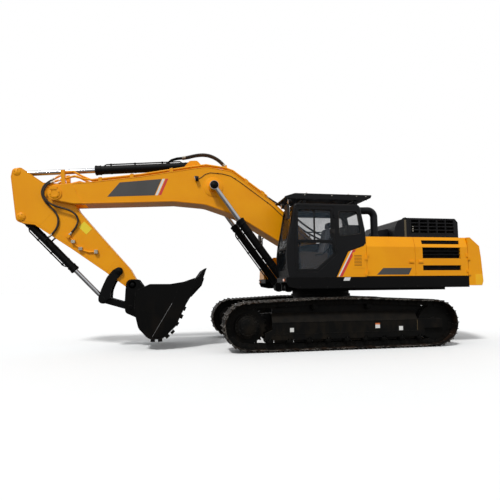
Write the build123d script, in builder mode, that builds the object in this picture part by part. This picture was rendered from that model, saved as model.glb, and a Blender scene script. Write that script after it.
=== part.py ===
"""Crawler excavator of the forty tonne class: undercarriage, slewing house, boom, arm and bucket.

Millimetres. +X is forward, +Y the machine's left and the cab's side, +Z up, and z = 0 is the ground.
Side outlines are drawn in a plane whose local x runs forward from the slew axis and whose local y is up.
"""
import os
from math import cos, hypot, pi, radians, sin, tan

from build123d import *

os.makedirs("parts", exist_ok=True)

# Overall sizes
tail_radius = 3750
front_reach = 7240
slew_x = (tail_radius - front_reach) / 2
house_width = 3000
house_side = house_width / 2
seat_gap = 0.3
pin_gap = 0.5
side_gap = 6.0

# Tracks
gauge = 2740
shoe_width = 600
shoe_count = 52
shoe_seat = 48
shoe_thick = 14
grouser_tip = 94
rail_depth = 45
rail_width = 38
rail_inside = 70
sprocket_x, sprocket_z, sprocket_pitch_r = 2120, 535, 417
idler_x, idler_z = -2130, 525
roller_r = 85
roller_count = 9
roller_front_x, roller_rear_x = 1650, -1740
roller_gap = 3
carrier_r = 70
carrier_z = 902
carrier_xs = (648, -587)
track_y = gauge / 2
roller_z = grouser_tip + rail_depth + roller_r
frame_half = 190
frame_floor = 330
frame_skirt = 235
frame_wall = 40

# Slewing house
ring_r = 700
ring_z = 1110
deck_floor = 1240
deck_top = 1545
deck_sheet = 60
skirt_low = 1300
skirt_wall = 30
hood_rear_x = -3068
panel_front_x = -566
door_split_x = -1740
hood_top = 2445
hood_crease = 2215
hood_lean = 70
panel_wall = 50
door_gap = 8

# Boom foot, pins and cylinders, as x forward of the slew axis and z
boom_foot = (100, 2000)
arm_pivot = (6260, 3477)
boom_cyl_base = (950, 1320)
boom_cyl_eye = (2709, 3730)
arm_cyl_base = (3176, 4302)
arm_cyl_eye = (7104, 3967)
bucket_cyl_base = (6982, 2952)
bucket_pin = (4557, 1425)
rocker_pin = (4857, 1739)
link_joint = (5207, 1102)
link_pin = (4598, 916)
foot_half = 300
boom_half = 300
boom_wall = 16
arm_half = 185
arm_wall = 14
fork_half = 195
tower_wall = 60
pin_r = 55
boss_r = 120
boom_cyl_y = 480
boom_eye_half = 65
rod_ear_half = 72
arm_cyl_ear_half = 106
bucket_cyl_ear_half = 92
ear_wall = 50

# Bucket
bucket_half = 750
bucket_side = 30
bucket_skin = 32
tooth_count = 5

# Cab
cab_inner_y = 590
cab_outer_y = house_side
cab_floor_z = deck_top + seat_gap
cab_roof_z = 3160
cab_wall = 55
glass_thick = 8
guard_low, guard_top = 3255, 3375


def side(y):
    """Upright plane at y: local x runs forward from the slew axis, local y up."""
    return Plane(origin=(slew_x, y, 0), x_dir=(1, 0, 0), z_dir=(0, -1, 0))


def section(x):
    """Upright cross plane at x from the slew axis: local x runs to the left, local y up."""
    return Plane(origin=(slew_x + x, 0, 0), x_dir=(0, 1, 0), z_dir=(1, 0, 0))


def level(z):
    """Level plane at height z, its origin on the slew axis."""
    return Plane(origin=(slew_x, 0, z), x_dir=(1, 0, 0), z_dir=(0, 0, 1))


def outline(plane, points):
    """Closed outline of straight runs; a point's third number rounds its corner."""
    with BuildSketch(plane) as shape:
        with BuildLine():
            Polyline(*[point[:2] for point in points], close=True)
        make_face()
        for point in points:
            if len(point) > 2:
                corner = shape.vertices().sort_by_distance((point[0], point[1], 0))[0]
                fillet(corner, point[2])
    return shape.sketch


def slab(plane, points, thick, mode=Mode.ADD):
    """Adds an outline given a thickness, half of it on each side of its plane."""
    extrude(outline(plane, points), amount=thick / 2, both=True, mode=mode)


def round_bar(centre, radius, y_mid, width, mode=Mode.ADD):
    """Adds a round bar or boss across the machine, centred on y_mid."""
    with BuildSketch(side(y_mid)) as face:
        with Locations(centre):
            Circle(radius)
    extrude(face.sketch, amount=width / 2, both=True, mode=mode)


def block(x_range, y_range, z_range, mode=Mode.ADD):
    """Adds an upright block between two values on each axis."""
    (x0, x1), (y0, y1), (z0, z1) = x_range, y_range, z_range
    corners = [(x0, y0), (x1, y0), (x1, y1), (x0, y1)]
    slab(level((z0 + z1) / 2), corners, abs(z1 - z0), mode)


def pipe(points, radius):
    """Adds a round pipe with mitred corners through points given as x, y, z."""
    places = [Vector(slew_x + x, y, z) for x, y, z in points]
    with BuildLine() as run:
        Polyline(*places)
    with BuildSketch(Plane(origin=places[0], z_dir=places[1] - places[0])) as face:
        Circle(radius)
    sweep(face.sketch, path=run.line, transition=Transition.RIGHT)


def along(start, end, distance):
    """Point at a distance from start towards end."""
    length = hypot(end[0] - start[0], end[1] - start[1])
    share = distance / length
    return (start[0] + (end[0] - start[0]) * share, start[1] + (end[1] - start[1]) * share)


def height_on(start, end, x):
    """Height of the line from start to end at x."""
    return start[1] + (end[1] - start[1]) * (x - start[0]) / (end[0] - start[0])


def axis_plane(start, end, y, distance):
    """Plane across the line from start to end, at a distance along it."""
    place = along(start, end, distance)
    return Plane(
        origin=(slew_x + place[0], y, place[1]),
        x_dir=(0, 1, 0),
        z_dir=(end[0] - start[0], 0, end[1] - start[1]),
    )


def rod_run(start, end, y, radius, begin, finish, mode=Mode.ADD):
    """Adds a round rod on the line from start to end, between two distances along it."""
    with BuildSketch(axis_plane(start, end, y, begin)) as face:
        Circle(radius)
    extrude(face.sketch, amount=finish - begin, mode=mode)


def hinge_leaf(x, y, z, reach, out):
    """Adds one hinge leaf and its knuckle, on a side face at y that looks out (1 left, -1 right)."""
    block((x, x + reach), (y, out * (house_side + hinge_leaf_thick)), (z, z + hinge_length))
    with BuildSketch(level(z)) as knuckle:
        with Locations((x, out * (house_side + hinge_axis_out))):
            Circle(hinge_knuckle_r)
    extrude(knuckle.sketch, amount=hinge_length)


def keep(piece, name):
    """Names a finished piece and writes it out."""
    piece.part.label = name
    export_step(piece.part, f"parts/{name}.step")


hinge_leaf_thick = 14
hinge_length = 70
hinge_knuckle_r = 13
hinge_axis_out = 15
hinge_reach = 55
hinge_zs = (1640, 1990)
hood_hinge = (-3242, hood_top + 24)
hood_hinge_ys = (-500, 700)
hood_hinge_r = 16
lift_socket_x, lift_socket_y = -3190, 1080

# Track: the pitch line is the belt round the sprocket, the idler, the end rollers and the carriers
belt_wheels = [
    (sprocket_x, sprocket_z, sprocket_pitch_r),
    (idler_x, idler_z, sprocket_pitch_r),
    (roller_front_x, roller_z, roller_r + rail_depth),
    (roller_rear_x, roller_z, roller_r + rail_depth),
    (carrier_xs[0], carrier_z, carrier_r + rail_depth),
    (carrier_xs[1], carrier_z, carrier_r + rail_depth),
]
with BuildSketch() as belt:
    with BuildLine():
        for wheel_x, wheel_z, wheel_r in belt_wheels:
            CenterArc((wheel_x, wheel_z), wheel_r, 0, 360)
    make_hull()
pitch_line = belt.sketch.faces()[0].outer_wire()
shoe_pitch = pitch_line.length / shoe_count


def belt_outline(profile):
    """Repeats a profile round the belt: distance along a shoe, and out from the pitch line.

    The loop runs forward along its top, so the outside is on the left of its run.
    """
    points = []
    for shoe in range(shoe_count):
        spot = pitch_line.position_at(shoe / shoe_count)
        next_spot = pitch_line.position_at((shoe + 0.1) / shoe_count)
        run = (next_spot - spot).normalized()
        out = Vector(-run.Y, run.X, 0)
        for ahead, height in profile:
            place = spot + run * (ahead * shoe_pitch) + out * height
            points.append((place.X, place.Y))
    return points


plate_top = shoe_seat + shoe_thick
shoe_profile = [
    (-0.49, plate_top),
    (-0.36, plate_top),
    (-0.31, grouser_tip),
    (-0.26, plate_top),
    (0.14, plate_top),
    (0.19, grouser_tip),
    (0.24, plate_top),
    (0.49, plate_top),
]
shoe_outside = belt_outline(shoe_profile)
shoe_inside = belt_outline([(-0.5, shoe_seat)])
rail_inner = belt_outline([(-0.5, -rail_depth)])
for name, way in (("left", 1), ("right", -1)):
    with BuildPart() as track:
        with BuildSketch(side(way * track_y)):
            with BuildLine():
                Polyline(*shoe_outside, close=True)
            make_face()
            with BuildLine():
                Polyline(*shoe_inside, close=True)
            make_face(mode=Mode.SUBTRACT)
        extrude(amount=shoe_width / 2, both=True)
        for rail in (1, -1):
            with BuildSketch(side(way * track_y + rail * (rail_inside + rail_width / 2))):
                with BuildLine():
                    Polyline(*shoe_inside, close=True)
                make_face()
                with BuildLine():
                    Polyline(*rail_inner, close=True)
                make_face(mode=Mode.SUBTRACT)
            extrude(amount=rail_width / 2, both=True)
    keep(track, f"track_{name}")

# Sprocket with its final drive: toothed ring between the rails, hub and cover outside
sprocket_teeth = 24
tooth_root_r = sprocket_pitch_r - 34
tooth_tip_r = sprocket_pitch_r + 8
sprocket_half = 34
drive_hub_r = 255
drive_cover_r = 215
drive_inner = 70
drive_outer = 185
for name, way in (("left", 1), ("right", -1)):
    with BuildPart() as sprocket:
        with BuildSketch(side(way * track_y)):
            with BuildLine():
                teeth = []
                for tooth in range(sprocket_teeth):
                    for share, radius in ((-0.3, tooth_root_r), (-0.12, tooth_tip_r),
                                          (0.12, tooth_tip_r), (0.3, tooth_root_r)):
                        angle = radians((tooth + share) * 360 / sprocket_teeth)
                        teeth.append((sprocket_x + radius * cos(angle), sprocket_z + radius * sin(angle)))
                Polyline(*teeth, close=True)
            make_face()
        extrude(amount=sprocket_half, both=True)
        hub_mid = way * (track_y + (drive_outer - 60 - drive_inner) / 2)
        round_bar((sprocket_x, sprocket_z), drive_hub_r, hub_mid, drive_outer - 60 + drive_inner - seat_gap * 2)
        cover_mid = way * (track_y + drive_outer - 40)
        round_bar((sprocket_x, sprocket_z), drive_cover_r, cover_mid, 80)
    keep(sprocket, f"sprocket_{name}")

# Idler: two treads, a guide ridge between the rails and a hub in the frame's yoke
idler_r = sprocket_pitch_r - rail_depth - seat_gap
idler_tread_half = rail_inside + rail_width + 6
idler_ridge_half = rail_inside - 6
yoke_inside = 150
for name, way in (("left", 1), ("right", -1)):
    with BuildPart() as idler:
        round_bar((idler_x, idler_z), idler_r, way * track_y, idler_tread_half * 2)
        round_bar((idler_x, idler_z), idler_r + 22, way * track_y, idler_ridge_half * 2)
        round_bar((idler_x, idler_z), 110, way * track_y, (yoke_inside - seat_gap) * 2)
    keep(idler, f"idler_{name}")

# Rollers: the lower ones between the frame's skirts, the carriers on their brackets
roller_step = (roller_front_x - roller_rear_x) / (roller_count - 1)
carrier_half = 120
for name, way in (("left", 1), ("right", -1)):
    with BuildPart() as rollers:
        for index in range(roller_count):
            spot = (roller_front_x - index * roller_step, roller_z)
            round_bar(spot, roller_r - roller_gap, way * track_y, (yoke_inside - seat_gap) * 2)
        for carrier_x in carrier_xs:
            round_bar((carrier_x, carrier_z), carrier_r - roller_gap, way * track_y, carrier_half * 2)
    keep(rollers, f"track_rollers_{name}")

# Track frames: a hollow beam with a sloped top, roller skirts, idler yoke, drive flange and motor
beam_front_x, beam_rear_x = 1600, -1690
beam_side_top, beam_top = 600, 790
for name, way in (("left", 1), ("right", -1)):
    with BuildPart() as track_frame:
        beam_mid = (beam_front_x + beam_rear_x) / 2
        beam_length = beam_front_x - beam_rear_x
        y_out, y_in = way * (track_y + frame_half), way * (track_y - frame_half)
        beam = [(y_in, frame_floor), (y_out, frame_floor), (y_out, beam_side_top),
                (way * (track_y + 60), beam_top), (y_in, beam_top)]
        slab(section(beam_mid), beam, beam_length)
        for flank in (1, -1):
            skirt_y = way * track_y + flank * (frame_half + yoke_inside) / 2
            skirt = [(-1850, frame_skirt, 40), (1760, frame_skirt, 40), (1760, 380), (beam_front_x, 450),
                     (beam_rear_x - 60, 450), (-1850, 400)]
            slab(side(skirt_y), skirt, frame_half - yoke_inside)
            yoke = [(beam_rear_x, 400), (beam_rear_x, 610), (-2290, 610, 30), (-2290, 415, 30)]
            slab(side(skirt_y), yoke, frame_half - yoke_inside)
        flange_y = way * (track_y - (frame_half + drive_inner) / 2)
        flange_wide = frame_half - drive_inner
        neck = [(beam_front_x - 60, 360), (sprocket_x, 300), (sprocket_x, 760), (beam_front_x - 60, beam_top)]
        slab(side(flange_y), neck, flange_wide)
        round_bar((sprocket_x, sprocket_z), 290, flange_y, flange_wide)
        motor_y = way * (track_y - frame_half - 140)
        round_bar((sprocket_x, sprocket_z), 190, motor_y, 280)
        for carrier_x in carrier_xs:
            post_y = way * (track_y - carrier_half - 25)
            post = [(carrier_x - 75, beam_top - 10), (carrier_x + 75, beam_top - 10),
                    (carrier_x + 45, carrier_z + 45), (carrier_x - 45, carrier_z + 45)]
            slab(side(post_y), post, 50 - seat_gap * 2)
        hollow = [(y_in + way * frame_wall, frame_floor + frame_wall),
                  (y_out - way * frame_wall, frame_floor + frame_wall),
                  (y_out - way * frame_wall, beam_side_top - 15),
                  (way * (track_y + 45), beam_top - frame_wall), (y_in + way * frame_wall, beam_top - frame_wall)]
        slab(section(beam_mid), hollow, beam_length - 4 * frame_wall, Mode.SUBTRACT)
    keep(track_frame, f"track_frame_{name}")

# Car body: pedestal and four legs between the track frames, with tie-down eyes fore and aft
leg_inner, leg_outer = 300, track_y - frame_half
eye_bore_r = 35
eye_reach = 900
with BuildPart() as car_body:
    with BuildSketch(level(480)):
        RegularPolygon(760, 8, rotation=22.5)
    extrude(amount=470)
    with BuildSketch(level(900)):
        Circle(ring_r - 20)
    extrude(amount=ring_z - 900)
    for fore in (1, -1):
        for way in (1, -1):
            leg = [(fore * 120, way * 520), (fore * 620, way * 200), (fore * 1180, way * leg_outer),
                   (fore * 560, way * leg_outer)]
            slab(level(640), leg, 270)
        lug = [(fore * 600, 560), (fore * (eye_reach + 60), 560, 40), (fore * (eye_reach + 60), 700, 40),
               (fore * 600, 740)]
        slab(side(0), lug, 80)
        round_bar((fore * eye_reach, 630), eye_bore_r, 0, 100, Mode.SUBTRACT)
    with BuildSketch(level(400)):
        Circle(330)
    extrude(amount=ring_z - 200, mode=Mode.SUBTRACT)
keep(car_body, "car_body")

# Slew ring: the bolted ring that carries the house
with BuildPart() as slew_ring:
    with BuildSketch(level(ring_z)):
        Circle(ring_r)
        Circle(ring_r - 110, mode=Mode.SUBTRACT)
    extrude(amount=deck_floor - ring_z - seat_gap)
    with BuildSketch(level(ring_z)):
        Circle(ring_r + 30)
        Circle(ring_r - 110, mode=Mode.SUBTRACT)
    extrude(amount=45)
keep(slew_ring, "slew_ring")

# House frame: floor, two long webs that rise to the boom foot, deck sheets, skirts, cylinder ears
web_half = foot_half + side_gap * 2
web_y = web_half + tower_wall / 2
deck_front_x = 1270
cyl_ear_y = boom_cyl_y + boom_eye_half + side_gap + ear_wall / 2
with BuildPart() as house_frame:
    block((-2950, 800), (-760, 760), (deck_floor, skirt_low))
    web = [(-2950, skirt_low - 1), (-2950, 1520), (-1000, deck_top, 60), (boom_foot[0] - 330, 2090, 120),
           (boom_foot[0] - 70, boom_foot[1] + 190, 90), (boom_foot[0] + 170, boom_foot[1] + 110, 90),
           (560, 1640, 120), (1000, 1500, 40), (boom_cyl_base[0] + 130, 1400, 30),
           (boom_cyl_base[0] + 130, deck_floor, 30), (700, deck_floor)]
    for way in (1, -1):
        slab(side(way * web_y), web, tower_wall)
        ear = [(boom_cyl_base[0] - 300, deck_floor), (boom_cyl_base[0] + 110, deck_floor, 60),
               (boom_cyl_base[0] + 110, 1420, 60), (boom_cyl_base[0] - 80, 1430, 60), (600, deck_floor + 100)]
        slab(side(way * cyl_ear_y), ear, ear_wall)
        round_bar(boom_cyl_base, pin_r, way * (web_y + cyl_ear_y) / 2, cyl_ear_y - web_y)
        block((hood_rear_x, deck_front_x), (way * 660, way * house_side), (deck_top - deck_sheet, deck_top))
        skirt = [(hood_rear_x, skirt_low), (1010, skirt_low), (deck_front_x - 55, 1340), (deck_front_x, 1450),
                 (deck_front_x, deck_top - 1), (hood_rear_x, deck_top - 1)]
        slab(side(way * (house_side - skirt_wall / 2)), skirt, skirt_wall)
        for cross_x in (deck_front_x - 15, 300, -900, -2000, hood_rear_x + 15):
            low = 1440 if cross_x > 1000 else skirt_low
            inner = 660 if cross_x > 1000 else web_half + 10
            block((cross_x - 15, cross_x + 15), (way * inner, way * (house_side - 10)), (low, deck_top - 10))
        block((hood_rear_x, -700), (way * 300, way * 700), (deck_top - deck_sheet, deck_top))
    block((hood_rear_x, -760), (-310, 310), (deck_top - deck_sheet, deck_top))
    round_bar(boom_foot, pin_r, 0, web_half * 2 + tower_wall)
keep(house_frame, "house_frame")

# Counterweight: a leaning section swept about the slew axis and trimmed to the house's width
weight_floor = 1335
weight_section = [(2600, weight_floor), (tail_radius - 35, weight_floor), (tail_radius, 1430),
                  (tail_radius - 30, 1980), (tail_radius - 60, 2246), (tail_radius - 270, hood_top),
                  (2600, hood_top)]
with BuildPart() as counterweight:
    weight_plane = Plane(origin=(slew_x, 0, 0), x_dir=(-cos(radians(30)), -sin(radians(30)), 0),
                         z_dir=(-sin(radians(30)), cos(radians(30)), 0))
    revolve(outline(weight_plane, weight_section), axis=Axis((slew_x, 0, 0), (0, 0, -1)), revolution_arc=60)
    trim = [(hood_rear_x - 8, -house_side + 5), (hood_rear_x - 8, house_side - 5),
            (-3900, house_side - 5, 330), (-3900, -house_side + 5, 330)]
    extrude(outline(level(weight_floor - 100), trim), amount=1400, mode=Mode.INTERSECT)
    for way in (1, -1):
        with BuildSketch(level(hood_top + 1)):
            with Locations((lift_socket_x, way * lift_socket_y)):
                Circle(eye_bore_r)
        extrude(amount=-161, mode=Mode.SUBTRACT)
        for hinge_z in hinge_zs:
            low = hinge_z - hinge_length - seat_gap
            hinge_leaf(hood_rear_x + door_gap / 2, way * (house_side - 5), low, -hinge_reach, way)
    for hinge_y in hood_hinge_ys:
        round_bar(hood_hinge, hood_hinge_r, hinge_y + 90 + seat_gap, 60)
        block((hood_hinge[0] - 12, hood_hinge[0] + 12), (hinge_y + 60 + seat_gap, hinge_y + 120),
              (hood_top - 1, hood_hinge[1]))
keep(counterweight, "counterweight")

# Engine: one heavy block across the rear, under the hood
with BuildPart() as engine:
    block((-2900, -1900), (-560, 700), (deck_top, 2300))
    block((-2700, -2000), (-950, -560), (deck_top, 2000))
keep(engine, "engine")

# Hood shell: top sheet with the engine's opening, posts behind the doors, fixed right panel, low cover
bent_outer = house_side
bent_top = house_side - hood_lean
sheet = 40


def bent_panel(way, low=deck_top + 15):
    """Cross-section of a side panel: upright to the crease, then leaning in to the top."""
    return [(way * bent_outer, low), (way * bent_outer, hood_crease), (way * bent_top, hood_top),
            (way * (bent_top - panel_wall), hood_top), (way * (bent_outer - panel_wall), hood_crease - 10),
            (way * (bent_outer - panel_wall), low)]


def hood_post(way, into):
    """Cross-section of a post inside a side panel, reaching into the panel by an amount."""
    outer, top_outer = bent_outer - panel_wall + into, bent_top - panel_wall + into
    return [(way * 1250, deck_top), (way * outer, deck_top), (way * outer, hood_crease - 12),
            (way * (top_outer - 8), hood_top - sheet + 1), (way * 1250, hood_top - sheet + 1)]


hood_hole = (-3120 + 120, -1700, -640, 860)
tank_rear_x = -912
post_xs = {1: (hood_rear_x + 40, door_split_x - 10, panel_front_x - 64), -1: (hood_rear_x + 40, door_split_x - 10)}
with BuildPart() as hood_shell:
    top = [(hood_rear_x, -1360), (tank_rear_x, -1360), (tank_rear_x, -620), (panel_front_x - 34, -620),
           (panel_front_x - 34, 1360), (hood_rear_x, 1360)]
    slab(level(hood_top - sheet / 2), top, sheet)
    block(hood_hole[:2], hood_hole[2:], (hood_top - sheet - 1, hood_top + 1), Mode.SUBTRACT)
    for way in (1, -1):
        for post_x in post_xs[way]:
            slab(section(post_x), hood_post(way, -seat_gap), 60)
    slab(section((door_split_x + tank_rear_x) / 2), bent_panel(-1, deck_top), tank_rear_x - door_split_x)
    slab(section(tank_rear_x - 30), hood_post(-1, 10), 60)
    low_cover = [(-1490, hood_top - 1), (-1545, 2735, 30), (-1310, 2690), (-1050, 2625, 30), (-960, hood_top - 1)]
    slab(side(100), low_cover, 1200)
    bulkhead = [(-1250, deck_top), (1250, deck_top), (1250, hood_top - sheet), (-1250, hood_top - sheet)]
    slab(section(-1300), bulkhead, 30)
    slab(section(hood_rear_x + 16), bulkhead, 30)
    block((-700, -600), (-300, 300), (hood_top - 1, hood_top + 85))
keep(hood_shell, "hood_shell")

# Panel beside the cab's rear foot, with its slanted front edge
slant = [(134, deck_top), (-148, 2100), (-502, 2221), (panel_front_x, 2285), (panel_front_x, deck_top)]
with BuildPart() as cab_side_panel:
    slab(side(house_side - panel_wall / 2), slant, panel_wall)
    block((panel_front_x, panel_front_x + 40), (1300, house_side - 10), (deck_top, 2240))
    for slot in range(6):
        slot_z = 1755 + slot * 54
        block((-500, -255), (house_side - 18, house_side + 10), (slot_z, slot_z + 22), Mode.SUBTRACT)
    for hinge_z in hinge_zs:
        hinge_leaf(panel_front_x - door_gap / 2, house_side, hinge_z - hinge_length - seat_gap, hinge_reach, 1)
keep(cab_side_panel, "cab_side_panel")

# Side doors: name, front x, rear x, side, hinge at the front edge or the rear one
vent_rows = ((1690, 1792), (1962, 2200), (2282, 2366))
doors = (
    ("left_door_front", panel_front_x - door_gap, door_split_x + door_gap / 2, 1, True, False),
    ("left_door_rear", door_split_x - door_gap / 2, hood_rear_x + door_gap, 1, False, True),
    ("pump_door", door_split_x - door_gap / 2, hood_rear_x + door_gap, -1, False, False),
)
for name, front_x, rear_x, way, front_hung, vented in doors:
    with BuildPart() as door:
        slab(section((front_x + rear_x) / 2), bent_panel(way), front_x - rear_x)
        hinge_x = front_x + door_gap / 2 if front_hung else rear_x - door_gap / 2
        for hinge_z in hinge_zs:
            reach = -hinge_reach if front_hung else hinge_reach
            hinge_leaf(hinge_x, way * house_side, hinge_z, reach, way)
        latch_x = rear_x + 90 if front_hung else front_x - 120
        block((latch_x - 55, latch_x + 55), (way * house_side, way * (house_side + 14)), (1850, 1905))
        if vented:
            for low, high in vent_rows:
                block((-2875, -1925), (way * 1300, way * 1600), (low, high), Mode.SUBTRACT)
                bar_count = 3 if high - low > 100 else 2
                for bar in range(1, bar_count):
                    bar_z = low + (high - low) * bar / bar_count
                    lean = max(0, bar_z - hood_crease) * hood_lean / (hood_top - hood_crease)
                    block((-2880, -1920), (way * (1465 - lean), way * (1480 - lean)), (bar_z - 8, bar_z + 8))
    keep(door, name)

# Engine hood: a hollow box over the engine with a grille of cut rows and columns on both sides
hood_low = hood_top + seat_gap
box_left, box_right = 980, -760
grille_columns, grille_rows = 5, 4
grille_x, grille_z = (-3120, -1960), (2590, 2930)
with BuildPart() as engine_hood:
    box = [(-3225, hood_low), (-3225, 2875, 30), (-3150, 2965, 30), (-1860, 2965, 30), (-1640, 2890, 60),
           (-1560, 2740, 60), (-1500, hood_low)]
    slab(side((box_left + box_right) / 2), box, box_left - box_right)
    room = [(-3225 + sheet, hood_low - 1), (-3225 + sheet, 2860), (-3140, 2965 - sheet), (-1870, 2965 - sheet),
            (-1665, 2855), (-1600, 2730), (-1550, hood_low - 1)]
    slab(side((box_left + box_right) / 2), room, box_left - box_right - 2 * sheet, Mode.SUBTRACT)
    column_step = (grille_x[1] - grille_x[0]) / grille_columns
    row_step = (grille_z[1] - grille_z[0]) / grille_rows
    with BuildSketch(side(box_left)) as cuts:
        for column in range(grille_columns):
            for row in range(grille_rows):
                spot = (grille_x[0] + (column + 0.5) * column_step, grille_z[0] + (row + 0.5) * row_step)
                with Locations(spot):
                    Rectangle(column_step - 40, row_step - 26)
    extrude(cuts.sketch, amount=sheet, mode=Mode.SUBTRACT)
    for hinge_y in hood_hinge_ys:
        round_bar(hood_hinge, hood_hinge_r, hinge_y, 120)
        block((hood_hinge[0], -3220), (hinge_y - 60, hinge_y + 60), (hood_hinge[1] - 14, hood_hinge[1] + 14))
keep(engine_hood, "engine_hood")

# Right side: fuel tank, hydraulic tank and the stepped tool box ahead of them
tank_inner = 640
with BuildPart() as fuel_tank:
    tank = [(-house_side + 10, deck_top + seat_gap), (-house_side + 10, hood_top - 60, 60),
            (-tank_inner, hood_top - 60, 60), (-tank_inner, deck_top + seat_gap)]
    slab(section(280), tank, 820)
    with BuildSketch(level(hood_top - 61)) as filler:
        with Locations((520, -1250)):
            Circle(70)
    extrude(filler.sketch, amount=60)
keep(fuel_tank, "fuel_tank")

with BuildPart() as hydraulic_tank:
    tank = [(-house_side + 10, deck_top + seat_gap), (-house_side + 10, hood_top, 50),
            (-tank_inner, hood_top, 50), (-tank_inner, deck_top + seat_gap)]
    slab(section(-525), tank, 750)
    with BuildSketch(level(hood_top - 1)) as filler:
        with Locations((-560, -1050)):
            Circle(110)
    extrude(filler.sketch, amount=36)
keep(hydraulic_tank, "hydraulic_tank")

step_top = 1830
with BuildPart() as tool_box:
    box = [(702, deck_top + seat_gap), (702, 2130), (1010, 2130, 50), (1040, step_top, 40), (1240, step_top, 50),
           (deck_front_x - 15, deck_top + seat_gap)]
    slab(side(-(house_side + 900) / 2), box, house_side - 900)
keep(tool_box, "tool_box")

# Cab: hollow shell with its windows and doorway cut, all from one side outline
cab_mid_y = (cab_inner_y + cab_outer_y) / 2
cab_width = cab_outer_y - cab_inner_y
cab_side_points = [(1205, cab_floor_z), (1247, 1760), (1262, 2020), (1238, 2290), (1180, 2566), (1128, 2840),
                   (1072, cab_roof_z, 90), (-450, cab_roof_z, 110), (-552, 2644), (-558, 2306, 30),
                   (-494, 2230), (-138, 2108), (144, cab_floor_z)]
door_points = [(1062, 1650, 60), (1058, 3090, 70), (165, 3090, 70), (165, 2420), (118, 2030, 60), (560, 1650, 60)]
rear_glass_points = [(60, 2430, 60), (60, 3000, 60), (-375, 3000, 80), (-455, 2500, 60)]
cab_hinge_x = 165
cab_hinge_zs = (2180, 2920)


def inset(plane, points, amount):
    """Closed outline moved in all round by an amount, or out where it is negative."""
    with BuildSketch(plane) as shape:
        add(outline(Plane.XY, points))
        offset(amount=-amount)
    return shape.sketch


def cab_windows(grow, thick, mode):
    """Cuts the cab's windows, or makes their panes where grow is the glass's edge in its seal."""
    mid_out = cab_outer_y - cab_wall / 2
    mid_in = cab_inner_y + cab_wall / 2
    extrude(inset(side(mid_out), rear_glass_points, -grow), amount=thick / 2, both=True, mode=mode)
    right_window = [(1010, 2250, 60), (960, 2990, 60), (-375, 2990, 80), (-455, 2450, 60)]
    extrude(inset(side(mid_in), right_window, -grow), amount=thick / 2, both=True, mode=mode)


with BuildPart() as cab_shell:
    extrude(outline(side(cab_mid_y), cab_side_points), amount=cab_width / 2, both=True)
    roof_edges = cab_shell.edges().filter_by(Axis.X).group_by(Axis.Z)[-1]
    fillet(roof_edges, 45)
    extrude(inset(side(cab_mid_y), cab_side_points, cab_wall), amount=cab_width / 2 - cab_wall, both=True,
            mode=Mode.SUBTRACT)
    extrude(outline(side(cab_outer_y), door_points), amount=cab_wall * 1.2, both=True, mode=Mode.SUBTRACT)
    cab_windows(0, cab_wall * 2, Mode.SUBTRACT)
    block((980, 1300), (cab_inner_y + 70, cab_outer_y - 70), (1700, 3040), Mode.SUBTRACT)
    block((-700, -420), (cab_inner_y + 90, cab_outer_y - 90), (2480, 2980), Mode.SUBTRACT)
    for hinge_z in cab_hinge_zs:
        hinge_leaf(cab_hinge_x, cab_outer_y, hinge_z - hinge_length - seat_gap, -hinge_reach, 1)
keep(cab_shell, "cab_shell")

# Panes set in the middle of the cab's walls; the windscreen and the rear pane follow its outline
with BuildPart() as cab_glass:
    cab_windows(-seat_gap, glass_thick, Mode.ADD)
    ring_out = inset(side(cab_mid_y), cab_side_points, 20)
    ring_in = inset(side(cab_mid_y), cab_side_points, 20 + glass_thick)
    with BuildPart(mode=Mode.PRIVATE) as band:
        extrude(ring_out, amount=cab_width / 2 - 70 - seat_gap, both=True)
        extrude(ring_in, amount=cab_width, both=True, mode=Mode.SUBTRACT)
        block((1020, 1290), (cab_inner_y, cab_outer_y), (1700 + seat_gap, 3040 - seat_gap), Mode.INTERSECT)
    add(band.part)
keep(cab_glass, "cab_glass")

# Cab door: a frame round two panes, on two hinges at its rear edge
door_mid = cab_outer_y - cab_wall / 2
door_frame_wide = 62
door_rail_z = 2323
with BuildPart() as cab_door:
    extrude(inset(side(door_mid), door_points, door_gap), amount=cab_wall / 2, both=True)
    extrude(inset(side(door_mid), door_points, door_gap + door_frame_wide), amount=cab_wall, both=True,
            mode=Mode.SUBTRACT)
    with BuildPart(mode=Mode.PRIVATE) as rail:
        extrude(inset(side(door_mid), door_points, door_gap + door_frame_wide - 5), amount=cab_wall / 2, both=True)
        block((0, 1200), (1300, 1600), (door_rail_z - 30, door_rail_z + 30), Mode.INTERSECT)
    add(rail.part)
    for hinge_z in cab_hinge_zs:
        hinge_leaf(cab_hinge_x, cab_outer_y, hinge_z, hinge_reach, 1)
    block((930, 1000), (cab_outer_y - 1, cab_outer_y + 22), (door_rail_z - 22, door_rail_z + 22))
keep(cab_door, "cab_door")

with BuildPart() as door_glass:
    with BuildPart(mode=Mode.PRIVATE) as panes:
        extrude(inset(side(door_mid), door_points, door_gap + door_frame_wide + seat_gap), amount=glass_thick / 2,
                both=True)
        block((0, 1200), (1300, 1600), (door_rail_z - 30 - seat_gap, door_rail_z + 30 + seat_gap), Mode.SUBTRACT)
    add(panes.part)
keep(door_glass, "door_glass")

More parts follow.
